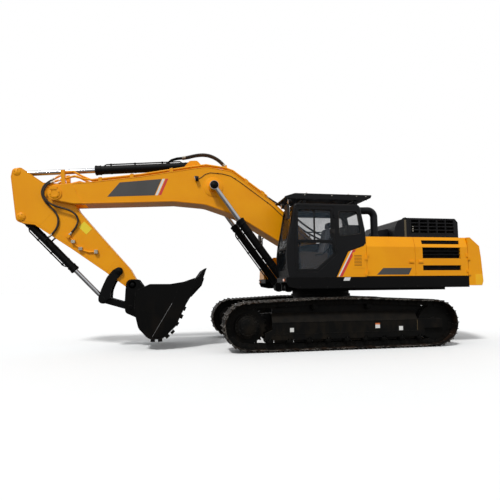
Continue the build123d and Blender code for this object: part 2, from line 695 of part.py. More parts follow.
# Roof guard: two side rails, slats along the roof and a sloping front visor on four posts
guard_y = (cab_inner_y + 20, cab_outer_y - 30)
guard_mid = sum(guard_y) / 2
slat_count = 7
with BuildPart() as roof_guard:
    rail = [(-560, guard_low), (-735, guard_top - 35, 20), (-735, guard_top, 10), (1040, guard_top, 60),
            (1270, 3300, 10), (1258, 3262, 10), (1030, guard_low, 60)]
    for rail_y in guard_y:
        slab(side(rail_y), rail, 36)
    slat_pitch = (guard_y[1] - guard_y[0]) / (slat_count + 1)
    slat = [(-640, guard_top - 70), (-640, guard_top - 12), (1035, guard_top - 12), (1250, 3290),
            (1244, 3270), (1020, guard_top - 70)]
    for index in range(1, slat_count + 1):
        slab(side(guard_y[0] + index * slat_pitch), slat, 22)
    for cross_x in (-700, -20, 620):
        block((cross_x - 30, cross_x + 30), guard_y, (guard_top - 60, guard_top - 5))
    front = [(1200, 3309), (1262, 3288), (1255, 3268), (1190, 3285)]
    slab(side(guard_mid), front, guard_y[1] - guard_y[0])
    for post_x in (-380, 820):
        for post_y in (guard_y[0] + 60, guard_y[1] - 60):
            block((post_x - 35, post_x + 35), (post_y - 25, post_y + 25), (cab_roof_z + seat_gap, guard_top - 70))
        block((post_x - 30, post_x + 30), guard_y, (guard_low + 10, guard_low + 50))
keep(roof_guard, "roof_guard")

# Operator's seat between two consoles, with the travel levers ahead of it
seat_mid = cab_mid_y
seat_x = 240
room_floor = cab_floor_z + cab_wall + seat_gap
with BuildPart() as seat:
    block((seat_x, seat_x + 560), (seat_mid - 230, seat_mid + 230), (room_floor, 1900))
    cushion = [(seat_x, 1895), (seat_x + 610, 1895), (seat_x + 640, 2010, 50), (seat_x + 130, 2010),
               (seat_x - 10, 2680, 60), (seat_x - 120, 2660, 50), (seat_x - 10, 1960)]
    slab(side(seat_mid), cushion, 480)
    head = [(seat_x - 40, 2640), (seat_x - 140, 2640, 40), (seat_x - 150, 2800, 40), (seat_x - 60, 2810, 40)]
    slab(side(seat_mid), head, 260)
    for way in (1, -1):
        arm_rest = [(seat_x + 20, 1890), (seat_x + 660, 1890), (seat_x + 700, 2060, 40), (seat_x + 660, 2120, 40),
                    (seat_x + 60, 2080, 40)]
        slab(side(seat_mid + way * 295), arm_rest, 110)
        pipe([(seat_x + 650, seat_mid + way * 295, 2090), (seat_x + 680, seat_mid + way * 295, 2330)], 20)
        pipe([(seat_x + 780, seat_mid + way * 60, room_floor + 1.3), (seat_x + 730, seat_mid + way * 60, 2150)], 14)
keep(seat, "seat")

# Air duct behind the cab: up from the hood and forward to the cab's rear wall
with BuildPart() as intake_pipe:
    with BuildLine() as duct:
        FilletPolyline((slew_x - 915, 1200, hood_top + seat_gap), (slew_x - 915, 1200, 3080),
                       (slew_x - 545, 1200, 3065), radius=150)
    with BuildSketch(Plane(origin=duct.line @ 0, z_dir=(0, 0, 1))):
        Circle(83)
    sweep(path=duct.line)
    with BuildSketch(Plane(origin=duct.line @ 0, z_dir=(0, 0, 1))):
        Circle(105)
    extrude(amount=60)
keep(intake_pipe, "intake_pipe")

# Handrails: round the tool box and the tanks on the right, and up the cab's front corner
rail_r = 17
with BuildPart() as handrails:
    right_y = -house_side + 80
    pipe([(1180, right_y, step_top + seat_gap), (1180, right_y, 2700), (720, right_y, 2900), (-700, right_y, 2900),
          (-700, right_y, hood_top + seat_gap)], rail_r)
    pipe([(-220, right_y, 2900), (-220, right_y, hood_top + seat_gap)], rail_r)
keep(handrails, "handrails")

# Mirrors: one on the cab's front corner, one on the right handrail
with BuildPart() as mirrors:
    block((1122, 1200), (cab_outer_y - 70, cab_outer_y - 46), (2876, 2886))
    block((1180 + rail_r + seat_gap, 1240), (right_y - 10, right_y + 10), (2600, 2624))
    for mirror_x, mirror_y, mirror_z in ((1215, cab_outer_y - 20, 2950), (1240, -house_side + 60, 2650)):
        glass = [(mirror_x - 25, mirror_z - 160, 20), (mirror_x + 25, mirror_z - 160, 20),
                 (mirror_x + 40, mirror_z + 160, 20), (mirror_x - 20, mirror_z + 160, 20)]
        slab(side(mirror_y), glass, 190)
keep(mirrors, "mirrors")

# Boom: hollow box with a forked nose, bosses for the cylinders and ears for the arm cylinder
boom_points = [
    (-95, 2030, 60),
    (60, 1822, 60),
    (1176, 2471),
    (2148, 3050),
    (2900, 3300, 700),
    (3637, 3354),
    (5856, 3243, 60),
    (6330, 3330, 120),
    (6425, 3500, 120),
    (6300, 3680, 120),
    (5510, 3765),
    (4411, 3930),
    (3300, 4150),
    (2880, 4225, 300),
    (2286, 4140, 200),
    (1212, 3376),
    (60, 2290, 120),
]
fork_root_x = 5600
boom_boss_out = boom_cyl_y - boom_eye_half - side_gap
with BuildPart() as boom:
    extrude(outline(side(0), boom_points), amount=boom_half, both=True)
    with BuildPart(mode=Mode.PRIVATE) as inside:
        extrude(inset(side(0), boom_points, boom_wall), amount=boom_half - boom_wall, both=True)
        block((350, fork_root_x - 120), (-boom_half, boom_half), (1500, 4500), Mode.INTERSECT)
    add(inside.part, mode=Mode.SUBTRACT)
    fork = [(fork_root_x, 2900), (6700, 2900), (6700, 4100), (fork_root_x + 70, 4100)]
    slab(side(0), fork, fork_half * 2, Mode.SUBTRACT)
    round_bar(boom_foot, 185, 0, foot_half * 2)
    round_bar(boom_foot, pin_r + pin_gap, 0, foot_half * 3, Mode.SUBTRACT)
    round_bar(arm_pivot, pin_r, 0, boom_half * 2 + 60)
    for way in (1, -1):
        round_bar(arm_pivot, 150, way * (boom_half + 15), 30)
        round_bar(boom_cyl_eye, boss_r, way * (boom_half + boom_boss_out) / 2, boom_boss_out - boom_half + 1)
        ear_y = way * (arm_cyl_ear_half + ear_wall / 2)
        ear = [(arm_cyl_base[0] - 330, 4120), (arm_cyl_base[0] + 330, 4090), (arm_cyl_base[0] + 95, 4390, 90),
               (arm_cyl_base[0] - 95, 4405, 90)]
        slab(side(ear_y), ear, ear_wall)
    round_bar(arm_cyl_base, pin_r, 0, (arm_cyl_ear_half + ear_wall) * 2 + 30)
keep(boom, "boom")

# Steel pipes clamped along the boom: x, z of their route and the side offsets that they keep
boom_pipe_r = 24
pipe_mid_y = 241
back_run = ((1400, 3557.7), (1560, 3672), (2235, 4152), (2420, 4215), (2880, 4270), (3300, 4198), (4411, 3978),
            (5480, 3818))
upper_run = ((5700, 3905), (5900, 4010), (6060, 3990), (6200, 3890), (6300, 3830))
lower_run = ((5640, 3830), (5860, 3890), (6060, 3830), (6300, 3745))
pipe_runs = ((-268, lower_run), (-214, upper_run), (214, upper_run), (268, lower_run))
with BuildPart() as boom_pipes:
    for pipe_y, nose_run in pipe_runs:
        pipe([(x, pipe_y, z) for x, z in back_run + nose_run], boom_pipe_r)
    for clamp_x, start, end in ((1500, boom_points[15], boom_points[14]), (1900, boom_points[15], boom_points[14]),
                                (3700, boom_points[12], boom_points[11]), (4600, boom_points[11], boom_points[10]),
                                (5300, boom_points[11], boom_points[10])):
        low_rear = height_on(start, end, clamp_x - 40) + seat_gap
        low_front = height_on(start, end, clamp_x + 40) + seat_gap
        clamp = [(clamp_x - 40, low_rear), (clamp_x + 40, low_front), (clamp_x + 40, low_front + 82),
                 (clamp_x - 40, low_rear + 82)]
        for way in (1, -1):
            slab(side(way * pipe_mid_y), clamp, 120)
    nose_feet = [height_on(boom_points[10], boom_points[9], x) + seat_gap for x in (6050, 6130)]
    bracket = [(6050, nose_feet[0]), (6130, nose_feet[1]), (6150, 4015), (6070, 4025)]
    bracket_in, bracket_out = arm_half + side_gap, pipe_mid_y + 60
    for way in (1, -1):
        slab(side(way * (bracket_in + bracket_out) / 2), bracket, bracket_out - bracket_in)
    block_feet = [height_on(boom_points[14], boom_points[13], x) + seat_gap for x in (2330, 2450)]
    hose_block = [(2361.6, 4350.2), (2428.4, 4289.8), (2450, block_feet[1]), (2330, block_feet[0])]
    slab(side(0), hose_block, 180)
keep(boom_pipes, "boom_pipes")

# Free hoses: from the nose to the bucket cylinder and the arm's pipes, from the arm cylinder over the boom's
# back, and from the pipes down to the house. Name, radius and the route's points as x, y, z on the left
hose_routes = (
    ("port_hose", 22, [
        (6300.3, 214, 3829.8), (6403, 214, 3768.2), (6505, 214, 3680), (6553, 214, 3573), (6556, 214, 3459),
        (6500, 214, 3330), (6400, 214, 3215), (6295, 214, 3115), (6215, 214, 2995), (6186, 214, 2868),
        (6206, 214, 2735), (6270, 214, 2615), (6365, 214, 2515),
    ]),
    ("pipe_hose", 22, [
        (6300.3, 268, 3744.9), (6403.7, 268, 3708.3), (6475, 268, 3620), (6517, 268, 3510), (6490, 268, 3385),
        (6395, 268, 3265), (6235, 268, 3185), (6055, 268, 3145), (5900, 266, 3085), (5795, 256, 2995),
        (5757, 238, 2880), (5795, 222, 2755), (5870, 214, 2650), (5943, 214, 2552.6),
    ]),
    ("back_hose", 28, [
        (3429.7, 55, 4494), (3321.2, 55, 4510.1), (3200, 55, 4548), (3060, 55, 4582), (2905, 55, 4597),
        (2750, 55, 4575), (2605, 55, 4510), (2490, 55, 4425), (2395.2, 55, 4320.2),
    ]),
    ("foot_hose", 24, [
        (1399.7, 214, 3557.5), (1265, 214, 3461.3), (1125, 214, 3385), (975, 214, 3285), (815, 214, 3160),
        (645, 214, 3020), (465, 214, 2880), (275, 214, 2750), (75, 214, 2635), (-135, 214, 2540),
        (-360, 214, 2490), (-599.7, 214, 2490),
    ]),
)
for hose, hose_r, route in hose_routes:
    for side_name, way in (("left", 1), ("right", -1)):
        places = [Vector(slew_x + x, way * y, z) for x, y, z in route]
        radii = []
        for before, here, after in zip(places, places[1:], places[2:]):
            first, second = here - before, after - here
            half_turn = radians(first.get_angle(second)) / 2
            radii.append(0.45 * min(first.length, second.length) / tan(half_turn))
        with BuildPart() as free_hose:
            with BuildLine() as run:
                FilletPolyline(*places, radius=radii)
            with BuildSketch(Plane(origin=places[0], z_dir=places[1] - places[0])):
                Circle(hose_r)
            sweep(path=run.line)
        keep(free_hose, f"{hose}_{side_name}")
        length = run.wire().length
        share = free_hose.part.volume / (pi * hose_r**2 * length)
        print(hose, side_name, "length", round(length), "tightest bend", round(min(radii)),
              "volume share", round(share, 3))

# Arm: hollow tapered box with ears for both cylinders, a pivot boss and the bucket boss
arm_points = [
    (7020, 4070, 80),
    (7195, 4040, 90),
    (7225, 3850, 60),
    (7105, 3010),
    (7080, 2850, 110),
    (6900, 2800, 110),
    (6699, 2779),
    (5912, 2251),
    (5154, 1713),
    (4640, 1330, 60),
    (4480, 1330, 100),
    (4440, 1480, 60),
    (4610, 1780),
    (5167, 2415),
    (5785, 3135),
    (5960, 3480, 180),
    (6200, 3730, 180),
    (6541, 3740),
]
arm_slots = [
    (rod_ear_half, [(6520, 4250), (6630, 3800), (6730, 3690), (6840, 3655), (7000, 3675), (7300, 3740),
                    (7300, 4250)]),
    (bucket_cyl_ear_half, [(6490, 2560), (6690, 2960), (6930, 3110), (7300, 3150), (7300, 2560)]),
]
with BuildPart() as arm:
    extrude(outline(side(0), arm_points), amount=arm_half, both=True)
    with BuildPart(mode=Mode.PRIVATE) as inside:
        extrude(inset(side(0), arm_points, arm_wall), amount=arm_half - arm_wall, both=True)
        room = [(4950, 1200), (6380, 2400), (6440, 2620), (6600, 3020), (6740, 3560), (6600, 3560), (6420, 3330),
                (6250, 3230), (6080, 3330), (4950, 2400)]
        extrude(outline(side(0), room), amount=arm_half, both=True, mode=Mode.INTERSECT)
    add(inside.part, mode=Mode.SUBTRACT)
    for slot_half, slot in arm_slots:
        slab(side(0), slot, slot_half * 2, Mode.SUBTRACT)
    round_bar(arm_pivot, pin_r + pin_gap, 0, arm_half * 3, Mode.SUBTRACT)
    round_bar(bucket_cyl_base, pin_r, 0, arm_half * 2 + 20)
    round_bar(bucket_pin, pin_r - 10, 0, 480)
    round_bar(bucket_pin, boss_r, 0, arm_half * 2 - 20)
    round_bar(rocker_pin, pin_r - 10, 0, 500)
keep(arm, "arm")

arm_pipe_r = 18
with BuildPart() as arm_pipes:
    for way in (1, -1):
        pipe_y = way * (arm_half + arm_pipe_r + seat_gap)
        pipe([(5960, pipe_y, 2510), (5878, pipe_y, 2440), (5840, pipe_y, 2350), (5668, pipe_y, 2214),
              (5529, pipe_y, 2166), (5375, pipe_y, 2173)], arm_pipe_r)
        pad_y = way * (arm_half + seat_gap + 30)
        hose_end = [(5972, 2574), (5916, 2532), (5958, 2471), (6014, 2513)]
        slab(side(pad_y), hose_end, 60)
        slab(side(pad_y), [(5330, 2135), (5400, 2135), (5400, 2215), (5330, 2215)], 60)
        for clamp_x, clamp_z in ((5862, 2400), (5700, 2240)):
            slab(side(pad_y), [(clamp_x - 38, clamp_z - 30), (clamp_x + 38, clamp_z - 30),
                               (clamp_x + 38, clamp_z + 34), (clamp_x - 38, clamp_z + 34)], 60)
keep(arm_pipes, "arm_pipes")

# Cylinders: name, base pin, rod eye, sideways places, barrel and rod radius, gland and piston distances,
# half widths of the base eye and the rod eye
cylinders = (
    ("boom_cylinder", boom_cyl_base, boom_cyl_eye, (boom_cyl_y, -boom_cyl_y), 92, 55, 1976, 870, boom_eye_half,
     boom_eye_half),
    ("arm_cylinder", arm_cyl_base, arm_cyl_eye, (0,), 100, 58, 2280, 1640, 100, 65),
    ("bucket_cylinder", bucket_cyl_base, link_joint, (0,), 86, 50, 1640, 830, 86, 52),
)
eye_r = 105
neck_length = 150
bore_start = 182
gland_length = 120
piston_length = 50
port_r = 18
ports = {
    "boom_cylinder": (),
    "arm_cylinder": [[(3815, way * 40, 4328), (3700, way * 46, 4430), (3565, way * 55, 4474), (3430, way * 55, 4494)]
                     for way in (1, -1)],
    "bucket_cylinder": [[(6365.2, way * 214, 2514.8), (6452.3, way * 214, 2423.1), (6452.3, way * 78, 2400)]
                        for way in (1, -1)],
}
for name, base, eye, places, barrel_r, rod_r, gland, piston, base_half, rod_half in cylinders:
    length = hypot(eye[0] - base[0], eye[1] - base[1])
    bore_r = barrel_r - 16
    many = "s" if len(places) > 1 else ""
    with BuildPart() as barrel:
        for y in places:
            round_bar(base, eye_r, y, base_half * 2)
            rod_run(base, eye, y, base_half - 1, 60, neck_length + 1)
            rod_run(base, eye, y, barrel_r, neck_length, gland - 90)
            rod_run(base, eye, y, barrel_r + 8, gland - gland_length - 10, gland)
        for port_run in ports[name]:
            pipe(port_run, port_r)
        for y in places:
            rod_run(base, eye, y, bore_r, bore_start, gland - gland_length, Mode.SUBTRACT)
            rod_run(base, eye, y, rod_r + pin_gap, gland - gland_length - 10, gland + 10, Mode.SUBTRACT)
            round_bar(base, pin_r + pin_gap, y, base_half * 3, Mode.SUBTRACT)
    keep(barrel, f"{name}_barrel{many}")
    with BuildPart() as rod:
        for y in places:
            round_bar(eye, eye_r, y, rod_half * 2)
            rod_run(base, eye, y, rod_r, piston, length - 40)
            rod_run(base, eye, y, bore_r - pin_gap, piston, piston + piston_length)
    keep(rod, f"{name}_rod{many}")

# Rocker links beside the arm, and the link from their joint to the bucket
rocker_y = arm_half + side_gap + 5 + 20
rocker_plate = [(4800, 1795), (4885, 1822, 30), (4992, 1757, 150), (5120, 1600, 300), (5225, 1358, 400), (5297, 1130),
                (5120, 1090), (5038, 1120), (5028, 1292, 300), (4957, 1485, 300), (4785, 1680)]
with BuildPart() as rocker_links:
    for way in (1, -1):
        slab(side(way * rocker_y), rocker_plate, 40)
        round_bar(rocker_pin, 85, way * rocker_y, 40)
        round_bar(link_joint, 88, way * rocker_y, 40)
        round_bar(rocker_pin, pin_r - 10 + pin_gap, way * rocker_y, 60, Mode.SUBTRACT)
        round_bar(link_joint, pin_r, way * (rocker_y + 10), 60)
keep(rocker_links, "rocker_links")

with BuildPart() as bucket_link:
    for way in (1, -1):
        with BuildSketch(side(way * 115)):
            with Locations(link_joint, link_pin):
                Circle(76)
            make_hull()
            with Locations(link_joint, link_pin):
                Circle(100)
        extrude(amount=52, both=True)
    round_bar(along(link_pin, link_joint, 250), 70, 0, 240)
    round_bar(link_pin, 100, 0, 240)
    round_bar(link_pin, pin_r - 10 + pin_gap, 0, 500, Mode.SUBTRACT)
keep(bucket_link, "bucket_link")

# Bucket: rolled shell between two side plates, hinge ears, wear strips and teeth on the lip
bucket_ear_y = arm_half + 10 + 28
bucket_outer = [
    (4143, 1432),
    (4452, 1290),
    (4470, 860, 60),
    (4376, 480, 200),
    (4150, 235, 200),
    (3860, 235, 180),
    (3567, 527, 300),
    (3346, 997),
    (3161, 1302),
    (3052, 1394),
    (3170, 1560, 20),
    (3413, 1476),
    (3702, 1430),
]
with BuildPart() as bucket:
    extrude(outline(side(0), bucket_outer), amount=bucket_half, both=True)
    with BuildPart(mode=Mode.PRIVATE) as room:
        extrude(inset(side(0), bucket_outer, bucket_skin), amount=bucket_half - bucket_side, both=True)
        mouth = [(3230, 1300), (4110, 1300), (4110, 1700), (3150, 1700)]
        slab(side(0), mouth, (bucket_half - bucket_side) * 2)
    add(room.part, mode=Mode.SUBTRACT)
    for way in (1, -1):
        ears = [(4130, 1365), (4300, 1375), (4420, 1545, 40), (bucket_pin[0] + 130, bucket_pin[1] + 125, 120),
                (bucket_pin[0] + 150, bucket_pin[1] - 130, 120), (link_pin[0] + 125, link_pin[1] + 60, 100),
                (link_pin[0] + 105, link_pin[1] - 125, 100), (4380, 640)]
        slab(side(way * bucket_ear_y), ears, 56)
    extrude(inset(side(0), bucket_outer, bucket_skin), amount=bucket_half - bucket_side, both=True,
            mode=Mode.SUBTRACT)
    round_bar(bucket_pin, pin_r - 10 + pin_gap, 0, 700, Mode.SUBTRACT)
    round_bar(link_pin, pin_r - 10, 0, (bucket_ear_y + 28) * 2 + 20)
    tooth_step = (bucket_half * 2 - 190) / (tooth_count - 1)
    for index in range(tooth_count):
        tooth = [(3250, 1130), (3030, 1395), (2899, 1785, 6), (2965, 1760), (3120, 1545), (3240, 1330)]
        slab(side(-bucket_half + 95 + index * tooth_step), tooth, 130)
keep(bucket, "bucket")
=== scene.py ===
"""Looks of a crawler excavator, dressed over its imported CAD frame.

Places are given in millimetres: x ahead of the slew axis, y to the machine's left, z above the ground.
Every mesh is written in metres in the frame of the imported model.
"""
import logging
import math
from dataclasses import dataclass, field
from enum import Enum

import bmesh
import bpy
from mathutils import Matrix, Vector


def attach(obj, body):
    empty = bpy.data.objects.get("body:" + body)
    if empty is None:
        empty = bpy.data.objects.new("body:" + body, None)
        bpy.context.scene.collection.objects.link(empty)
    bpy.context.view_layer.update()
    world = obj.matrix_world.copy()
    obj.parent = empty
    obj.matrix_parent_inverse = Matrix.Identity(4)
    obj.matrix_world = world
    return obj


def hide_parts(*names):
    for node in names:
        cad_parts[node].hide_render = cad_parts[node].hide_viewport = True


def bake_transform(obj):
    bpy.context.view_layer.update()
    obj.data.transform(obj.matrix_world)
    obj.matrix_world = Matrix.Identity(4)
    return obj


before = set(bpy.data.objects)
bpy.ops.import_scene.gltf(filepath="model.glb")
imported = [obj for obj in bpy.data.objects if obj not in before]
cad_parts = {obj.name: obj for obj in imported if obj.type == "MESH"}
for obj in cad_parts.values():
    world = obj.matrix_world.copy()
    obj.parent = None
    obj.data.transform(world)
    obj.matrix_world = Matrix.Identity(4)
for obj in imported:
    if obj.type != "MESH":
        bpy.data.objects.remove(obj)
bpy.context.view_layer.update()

log = logging.getLogger("excavator")

SLEW_X = -1745.0
MM = 0.001
Point2 = tuple[float, float]
Point3 = tuple[float, float, float]
Colour = tuple[float, float, float, float]
Corners = tuple[tuple[float, ...], ...]
SIDES = (("left", 1), ("right", -1))
WAYS = (1, -1)

SMOOTH_DEGREES = 38.0
HOSE_SMOOTH_DEGREES = 50.0
LEAST_RADIUS = 0.5
LEAST_SLOPE = 0.35
MOST_REACH = 0.48
BEVEL_SAMPLES = 4


def at(x: float, y: float, z: float) -> Vector:
    """Turns a place in millimetres from the slew axis into metres in the model's frame."""
    return Vector(((x + SLEW_X) * MM, y * MM, z * MM))


def placed(name: str, data: bpy.types.ID) -> bpy.types.Object:
    """Puts data in the scene under a name and returns its object."""
    holder = bpy.data.objects.new(name, data)
    bpy.context.collection.objects.link(holder)
    return holder


class Body(str, Enum):
    """The CAD bodies that pieces ride on."""

    TRACKS = "undercarriage"
    HOUSE = "house"
    BOOM = "boom"
    ARM = "arm"
    BUCKET = "bucket"
    BOOM_BARRELS = "boom_barrels"
    BOOM_RODS = "boom_rods"
    ARM_BARREL = "arm_barrel"
    ARM_ROD = "arm_rod"
    BUCKET_BARREL = "bucket_barrel"
    BUCKET_ROD = "bucket_rod"
    CAB_DOOR = "cab_door"
    FRONT_DOOR = "left_door_front"
    REAR_DOOR = "left_door_rear"
    PUMP_DOOR = "pump_door"
    HOOD = "engine_hood"


class Slot(str, Enum):
    """The record's material slots."""

    ORANGE = "paint_orange"
    BLACK = "paint_black"
    GREY = "paint_grey"
    CHROME = "chrome_rod"
    TRACK = "track_steel"
    ENGINE = "engine_iron"
    MIRROR = "mirror_plastic"
    SEAT = "seat_fabric"
    HOSE = "hose_rubber"


# Finishes


class Tree:
    """Short way to write a shader's nodes."""

    def __init__(self, name: str) -> None:
        """Starts a material of that name with an empty tree and its output."""
        self.material = bpy.data.materials.new(name)
        self.material.use_nodes = True
        self.tree = self.material.node_tree
        self.tree.nodes.clear()
        self.output = self.add("ShaderNodeOutputMaterial")
        source = self.add("ShaderNodeTexCoord")
        self.coords, self.facing = source.outputs["Object"], source.outputs["Normal"]

    def add(self, kind: str, **inputs: object) -> bpy.types.Node:
        """Adds a node.

        Args:
            kind: Blender's name of the node.
            inputs: Values or sockets for its inputs, by name with _ for a space, or its settings.

        Returns:
            The new node.
        """
        node = self.tree.nodes.new(kind)
        for key, value in inputs.items():
            label = key.replace("_", " ")
            if label in node.inputs:
                self.feed(node.inputs[label], value)
            elif key.startswith("in") and key[2:].isdigit():
                self.feed(node.inputs[int(key[2:])], value)
            else:
                setattr(node, key, value)
        return node

    def feed(self, socket: bpy.types.NodeSocket, value: object) -> None:
        """Links a socket to a socket, or sets its value."""
        if isinstance(value, bpy.types.NodeSocket):
            self.tree.links.new(value, socket)
        else:
            socket.default_value = value

    def noise(self, scale: float, detail: float = 3.0, stretch: Point3 = (1, 1, 1)) -> bpy.types.NodeSocket:
        """Adds a noise on the piece's own coordinates and returns its value."""
        place = self.add("ShaderNodeMapping", Vector=self.coords, Scale=stretch)
        return self.add("ShaderNodeTexNoise", Vector=place.outputs[0], Scale=scale,
                        Detail=detail).outputs["Fac"]

    def span(self, value: object, low: float, high: float, to_low: float,
             to_high: float) -> bpy.types.NodeSocket:
        """Maps a value from one range to another, held at its ends."""
        node = self.add("ShaderNodeMapRange", Value=value)
        for index, number in enumerate((low, high, to_low, to_high), start=1):
            node.inputs[index].default_value = number
        return node.outputs[0]

    def maths(self, kind: str, first: object, second: object = 0.0) -> bpy.types.NodeSocket:
        """Adds a sum on one or two values."""
        return self.add("ShaderNodeMath", operation=kind, in0=first, in1=second).outputs[0]

    def mix(self, share: object, first: object, second: object) -> bpy.types.NodeSocket:
        """Mixes two colours."""
        node = self.add("ShaderNodeMix", data_type="RGBA")
        self.feed(node.inputs[0], share)
        self.feed(node.inputs[6], first)
        self.feed(node.inputs[7], second)
        return node.outputs[2]

    def finish(self, **inputs: object) -> bpy.types.Material:
        """Adds the surface shader, links it to the output and returns the material."""
        shader = self.add("ShaderNodeBsdfPrincipled", **inputs)
        self.tree.links.new(shader.outputs[0], self.output.inputs["Surface"])
        return self.material

    def edges(self, width_mm: float, low: float = 0.03, high: float = 0.25) -> bpy.types.NodeSocket:
        """Returns 1 along sharp edges and 0 on faces."""
        soft = self.add("ShaderNodeBevel", samples=BEVEL_SAMPLES, Radius=width_mm * MM)
        flat = self.add("ShaderNodeNewGeometry").outputs["Normal"]
        alike = self.add("ShaderNodeVectorMath", operation="DOT_PRODUCT", in0=soft.outputs[0], in1=flat)
        return self.span(alike.outputs["Value"], 1 - low, 1 - high, 0, 1)

    def bump(self, height: object, strength: float, distance: float,
             edge_mm: float = 0.0) -> bpy.types.NodeSocket:
        """Adds a bump, on edges that look rounded where edge_mm isn't 0."""
        node = self.add("ShaderNodeBump", Height=height, Strength=strength, Distance=distance)
        if edge_mm:
            soft = self.add("ShaderNodeBevel", samples=BEVEL_SAMPLES, Radius=edge_mm * MM)
            self.feed(node.inputs["Normal"], soft.outputs[0])
        return node.outputs[0]


def rgb(red: float, green: float, blue: float) -> Colour:
    """Turns an sRGB colour out of 255 into the linear colour that the shader takes."""
    linear = [((c / 255 + 0.055) / 1.055) ** 2.4 if c > 10 else c / 255 / 12.92 for c in (red, green, blue)]
    return (*linear, 1.0)


DUST = rgb(150, 126, 96)


@dataclass(frozen=True)
class Enamel:
    """Sprayed machine paint: slight mottle, orange peel, rubbed edges, dust on what faces up or is low."""

    name: str
    colour: Colour
    shade: Colour
    gloss: float = 0.36
    coat: float = 0.25
    dust: float = 0.25
    low_dust: float = 0.0
    edge_mm: float = 5.0
    shine: float = 0.5
    worn: Colour = (0.5, 0.28, 0.06, 1)
    wear: float = 0.35

    def material(self) -> bpy.types.Material:
        """Builds the paint."""
        tree = Tree(self.name)
        mottle = tree.span(tree.noise(1.6, 4), 0.35, 0.65, 0, 1)
        colour = tree.mix(mottle, self.colour, self.shade)
        faces_up = tree.add("ShaderNodeSeparateXYZ", Vector=tree.facing).outputs["Z"]
        height = tree.add("ShaderNodeSeparateXYZ", Vector=tree.coords).outputs["Z"]
        laid = tree.maths("MULTIPLY", tree.span(faces_up, 0.3, 1.0, 0, self.dust),
                          tree.span(tree.noise(7, 6), 0.35, 0.7, 0.2, 1))
        splashed = tree.maths("MULTIPLY", tree.span(height, 1.25, 0.1, 0, self.low_dust),
                              tree.span(tree.noise(4.5, 8, (1, 1, 0.5)), 0.45, 0.62, 0, 1))
        dusty = tree.maths("MAXIMUM", laid, splashed)
        colour = tree.mix(dusty, colour, DUST)
        if self.edge_mm:
            rubbed = tree.maths("MULTIPLY", tree.edges(self.edge_mm * 1.4),
                                tree.span(tree.noise(14, 5), 0.4, 0.6, 0, self.wear))
            colour = tree.mix(rubbed, colour, self.worn)
        rough = tree.maths("ADD", tree.span(tree.noise(22, 5), 0.3, 0.7, self.gloss - 0.06,
                                            self.gloss + 0.08),
                           tree.maths("MULTIPLY", dusty, 0.45))
        normal = tree.bump(tree.noise(260, 2), 0.05, 0.0008, self.edge_mm)
        return tree.finish(Base_Color=colour, Roughness=rough, Normal=normal, Coat_Weight=self.coat,
                           Coat_Roughness=0.12, Specular_IOR_Level=self.shine)


@dataclass(frozen=True)
class Steel:
    """Bare or worn steel: brushed streaks along one axis, stains and grit."""

    name: str
    colour: Colour
    stain: Colour
    metal: float = 0.9
    rough: float = 0.35
    stained: float = 0.5
    grain: Point3 = (1, 1, 1)
    grit: float = 0.15
    edge_mm: float = 3.0
    worn: Colour = (0.3, 0.29, 0.27, 1)
    wear: float = 0.5
    shine: float = 0.5

    def material(self) -> bpy.types.Material:
        """Builds the steel."""
        tree = Tree(self.name)
        patches = tree.span(tree.noise(5, 8), 0.42, 0.66, 0, self.stained)
        colour = tree.mix(patches, self.colour, self.stain)
        # Edges take the worn colour as rubbed steel; on the track shoes it is also a painted highlight on the
        # lips.
        if self.edge_mm:
            rubbed = tree.maths("MULTIPLY", tree.edges(self.edge_mm * 1.6),
                                tree.span(tree.noise(11, 4), 0.42, 0.6, 0, self.wear))
            colour = tree.mix(rubbed, colour, self.worn)
        streaks = tree.noise(90, 3, self.grain)
        rough = tree.maths("ADD", tree.span(streaks, 0.3, 0.7, self.rough - 0.05, self.rough + 0.08),
                           tree.maths("MULTIPLY", patches, 0.3))
        metal = tree.span(patches, 0, 1, self.metal, self.metal * 0.3)
        normal = tree.bump(tree.noise(160, 4, self.grain), self.grit, 0.0012, self.edge_mm)
        return tree.finish(Base_Color=colour, Roughness=rough, Metallic=metal, Normal=normal,
                           Specular_IOR_Level=self.shine)


@dataclass(frozen=True)
class Plastic:
    """Moulded plastic or rubber with a fine grain."""

    name: str
    colour: Colour
    rough: float = 0.55
    grain: float = 500.0
    depth: float = 0.12
    dust: float = 0.15

    def material(self) -> bpy.types.Material:
        """Builds the plastic."""
        tree = Tree(self.name)
        worn = tree.span(tree.noise(9, 6), 0.4, 0.75, 0, self.dust)
        colour = tree.mix(worn, self.colour, DUST)
        rough = tree.span(tree.noise(30, 4), 0.3, 0.7, self.rough - 0.07, self.rough + 0.1)
        normal = tree.bump(tree.noise(self.grain, 2), self.depth, 0.0006)
        return tree.finish(Base_Color=colour, Roughness=rough, Normal=normal, Specular_IOR_Level=0.25)


@dataclass(frozen=True)
class Glazing:
    """Tinted safety glass, faintly streaked."""

    name: str
    tint: Colour
    body: float = 0.3

    def material(self) -> bpy.types.Material:
        """Builds the glass."""
        tree = Tree(self.name)
        smear = tree.span(tree.noise(3, 5, (1, 1, 0.4)), 0.4, 0.75, 0.02, 0.09)
        density = tree.span(tree.noise(2, 4), 0.3, 0.75, self.body, self.body + 0.08)
        material = tree.finish(Base_Color=self.tint, Roughness=smear, Alpha=density, Specular_IOR_Level=0.35)
        material.surface_render_method = "BLENDED"
        return material


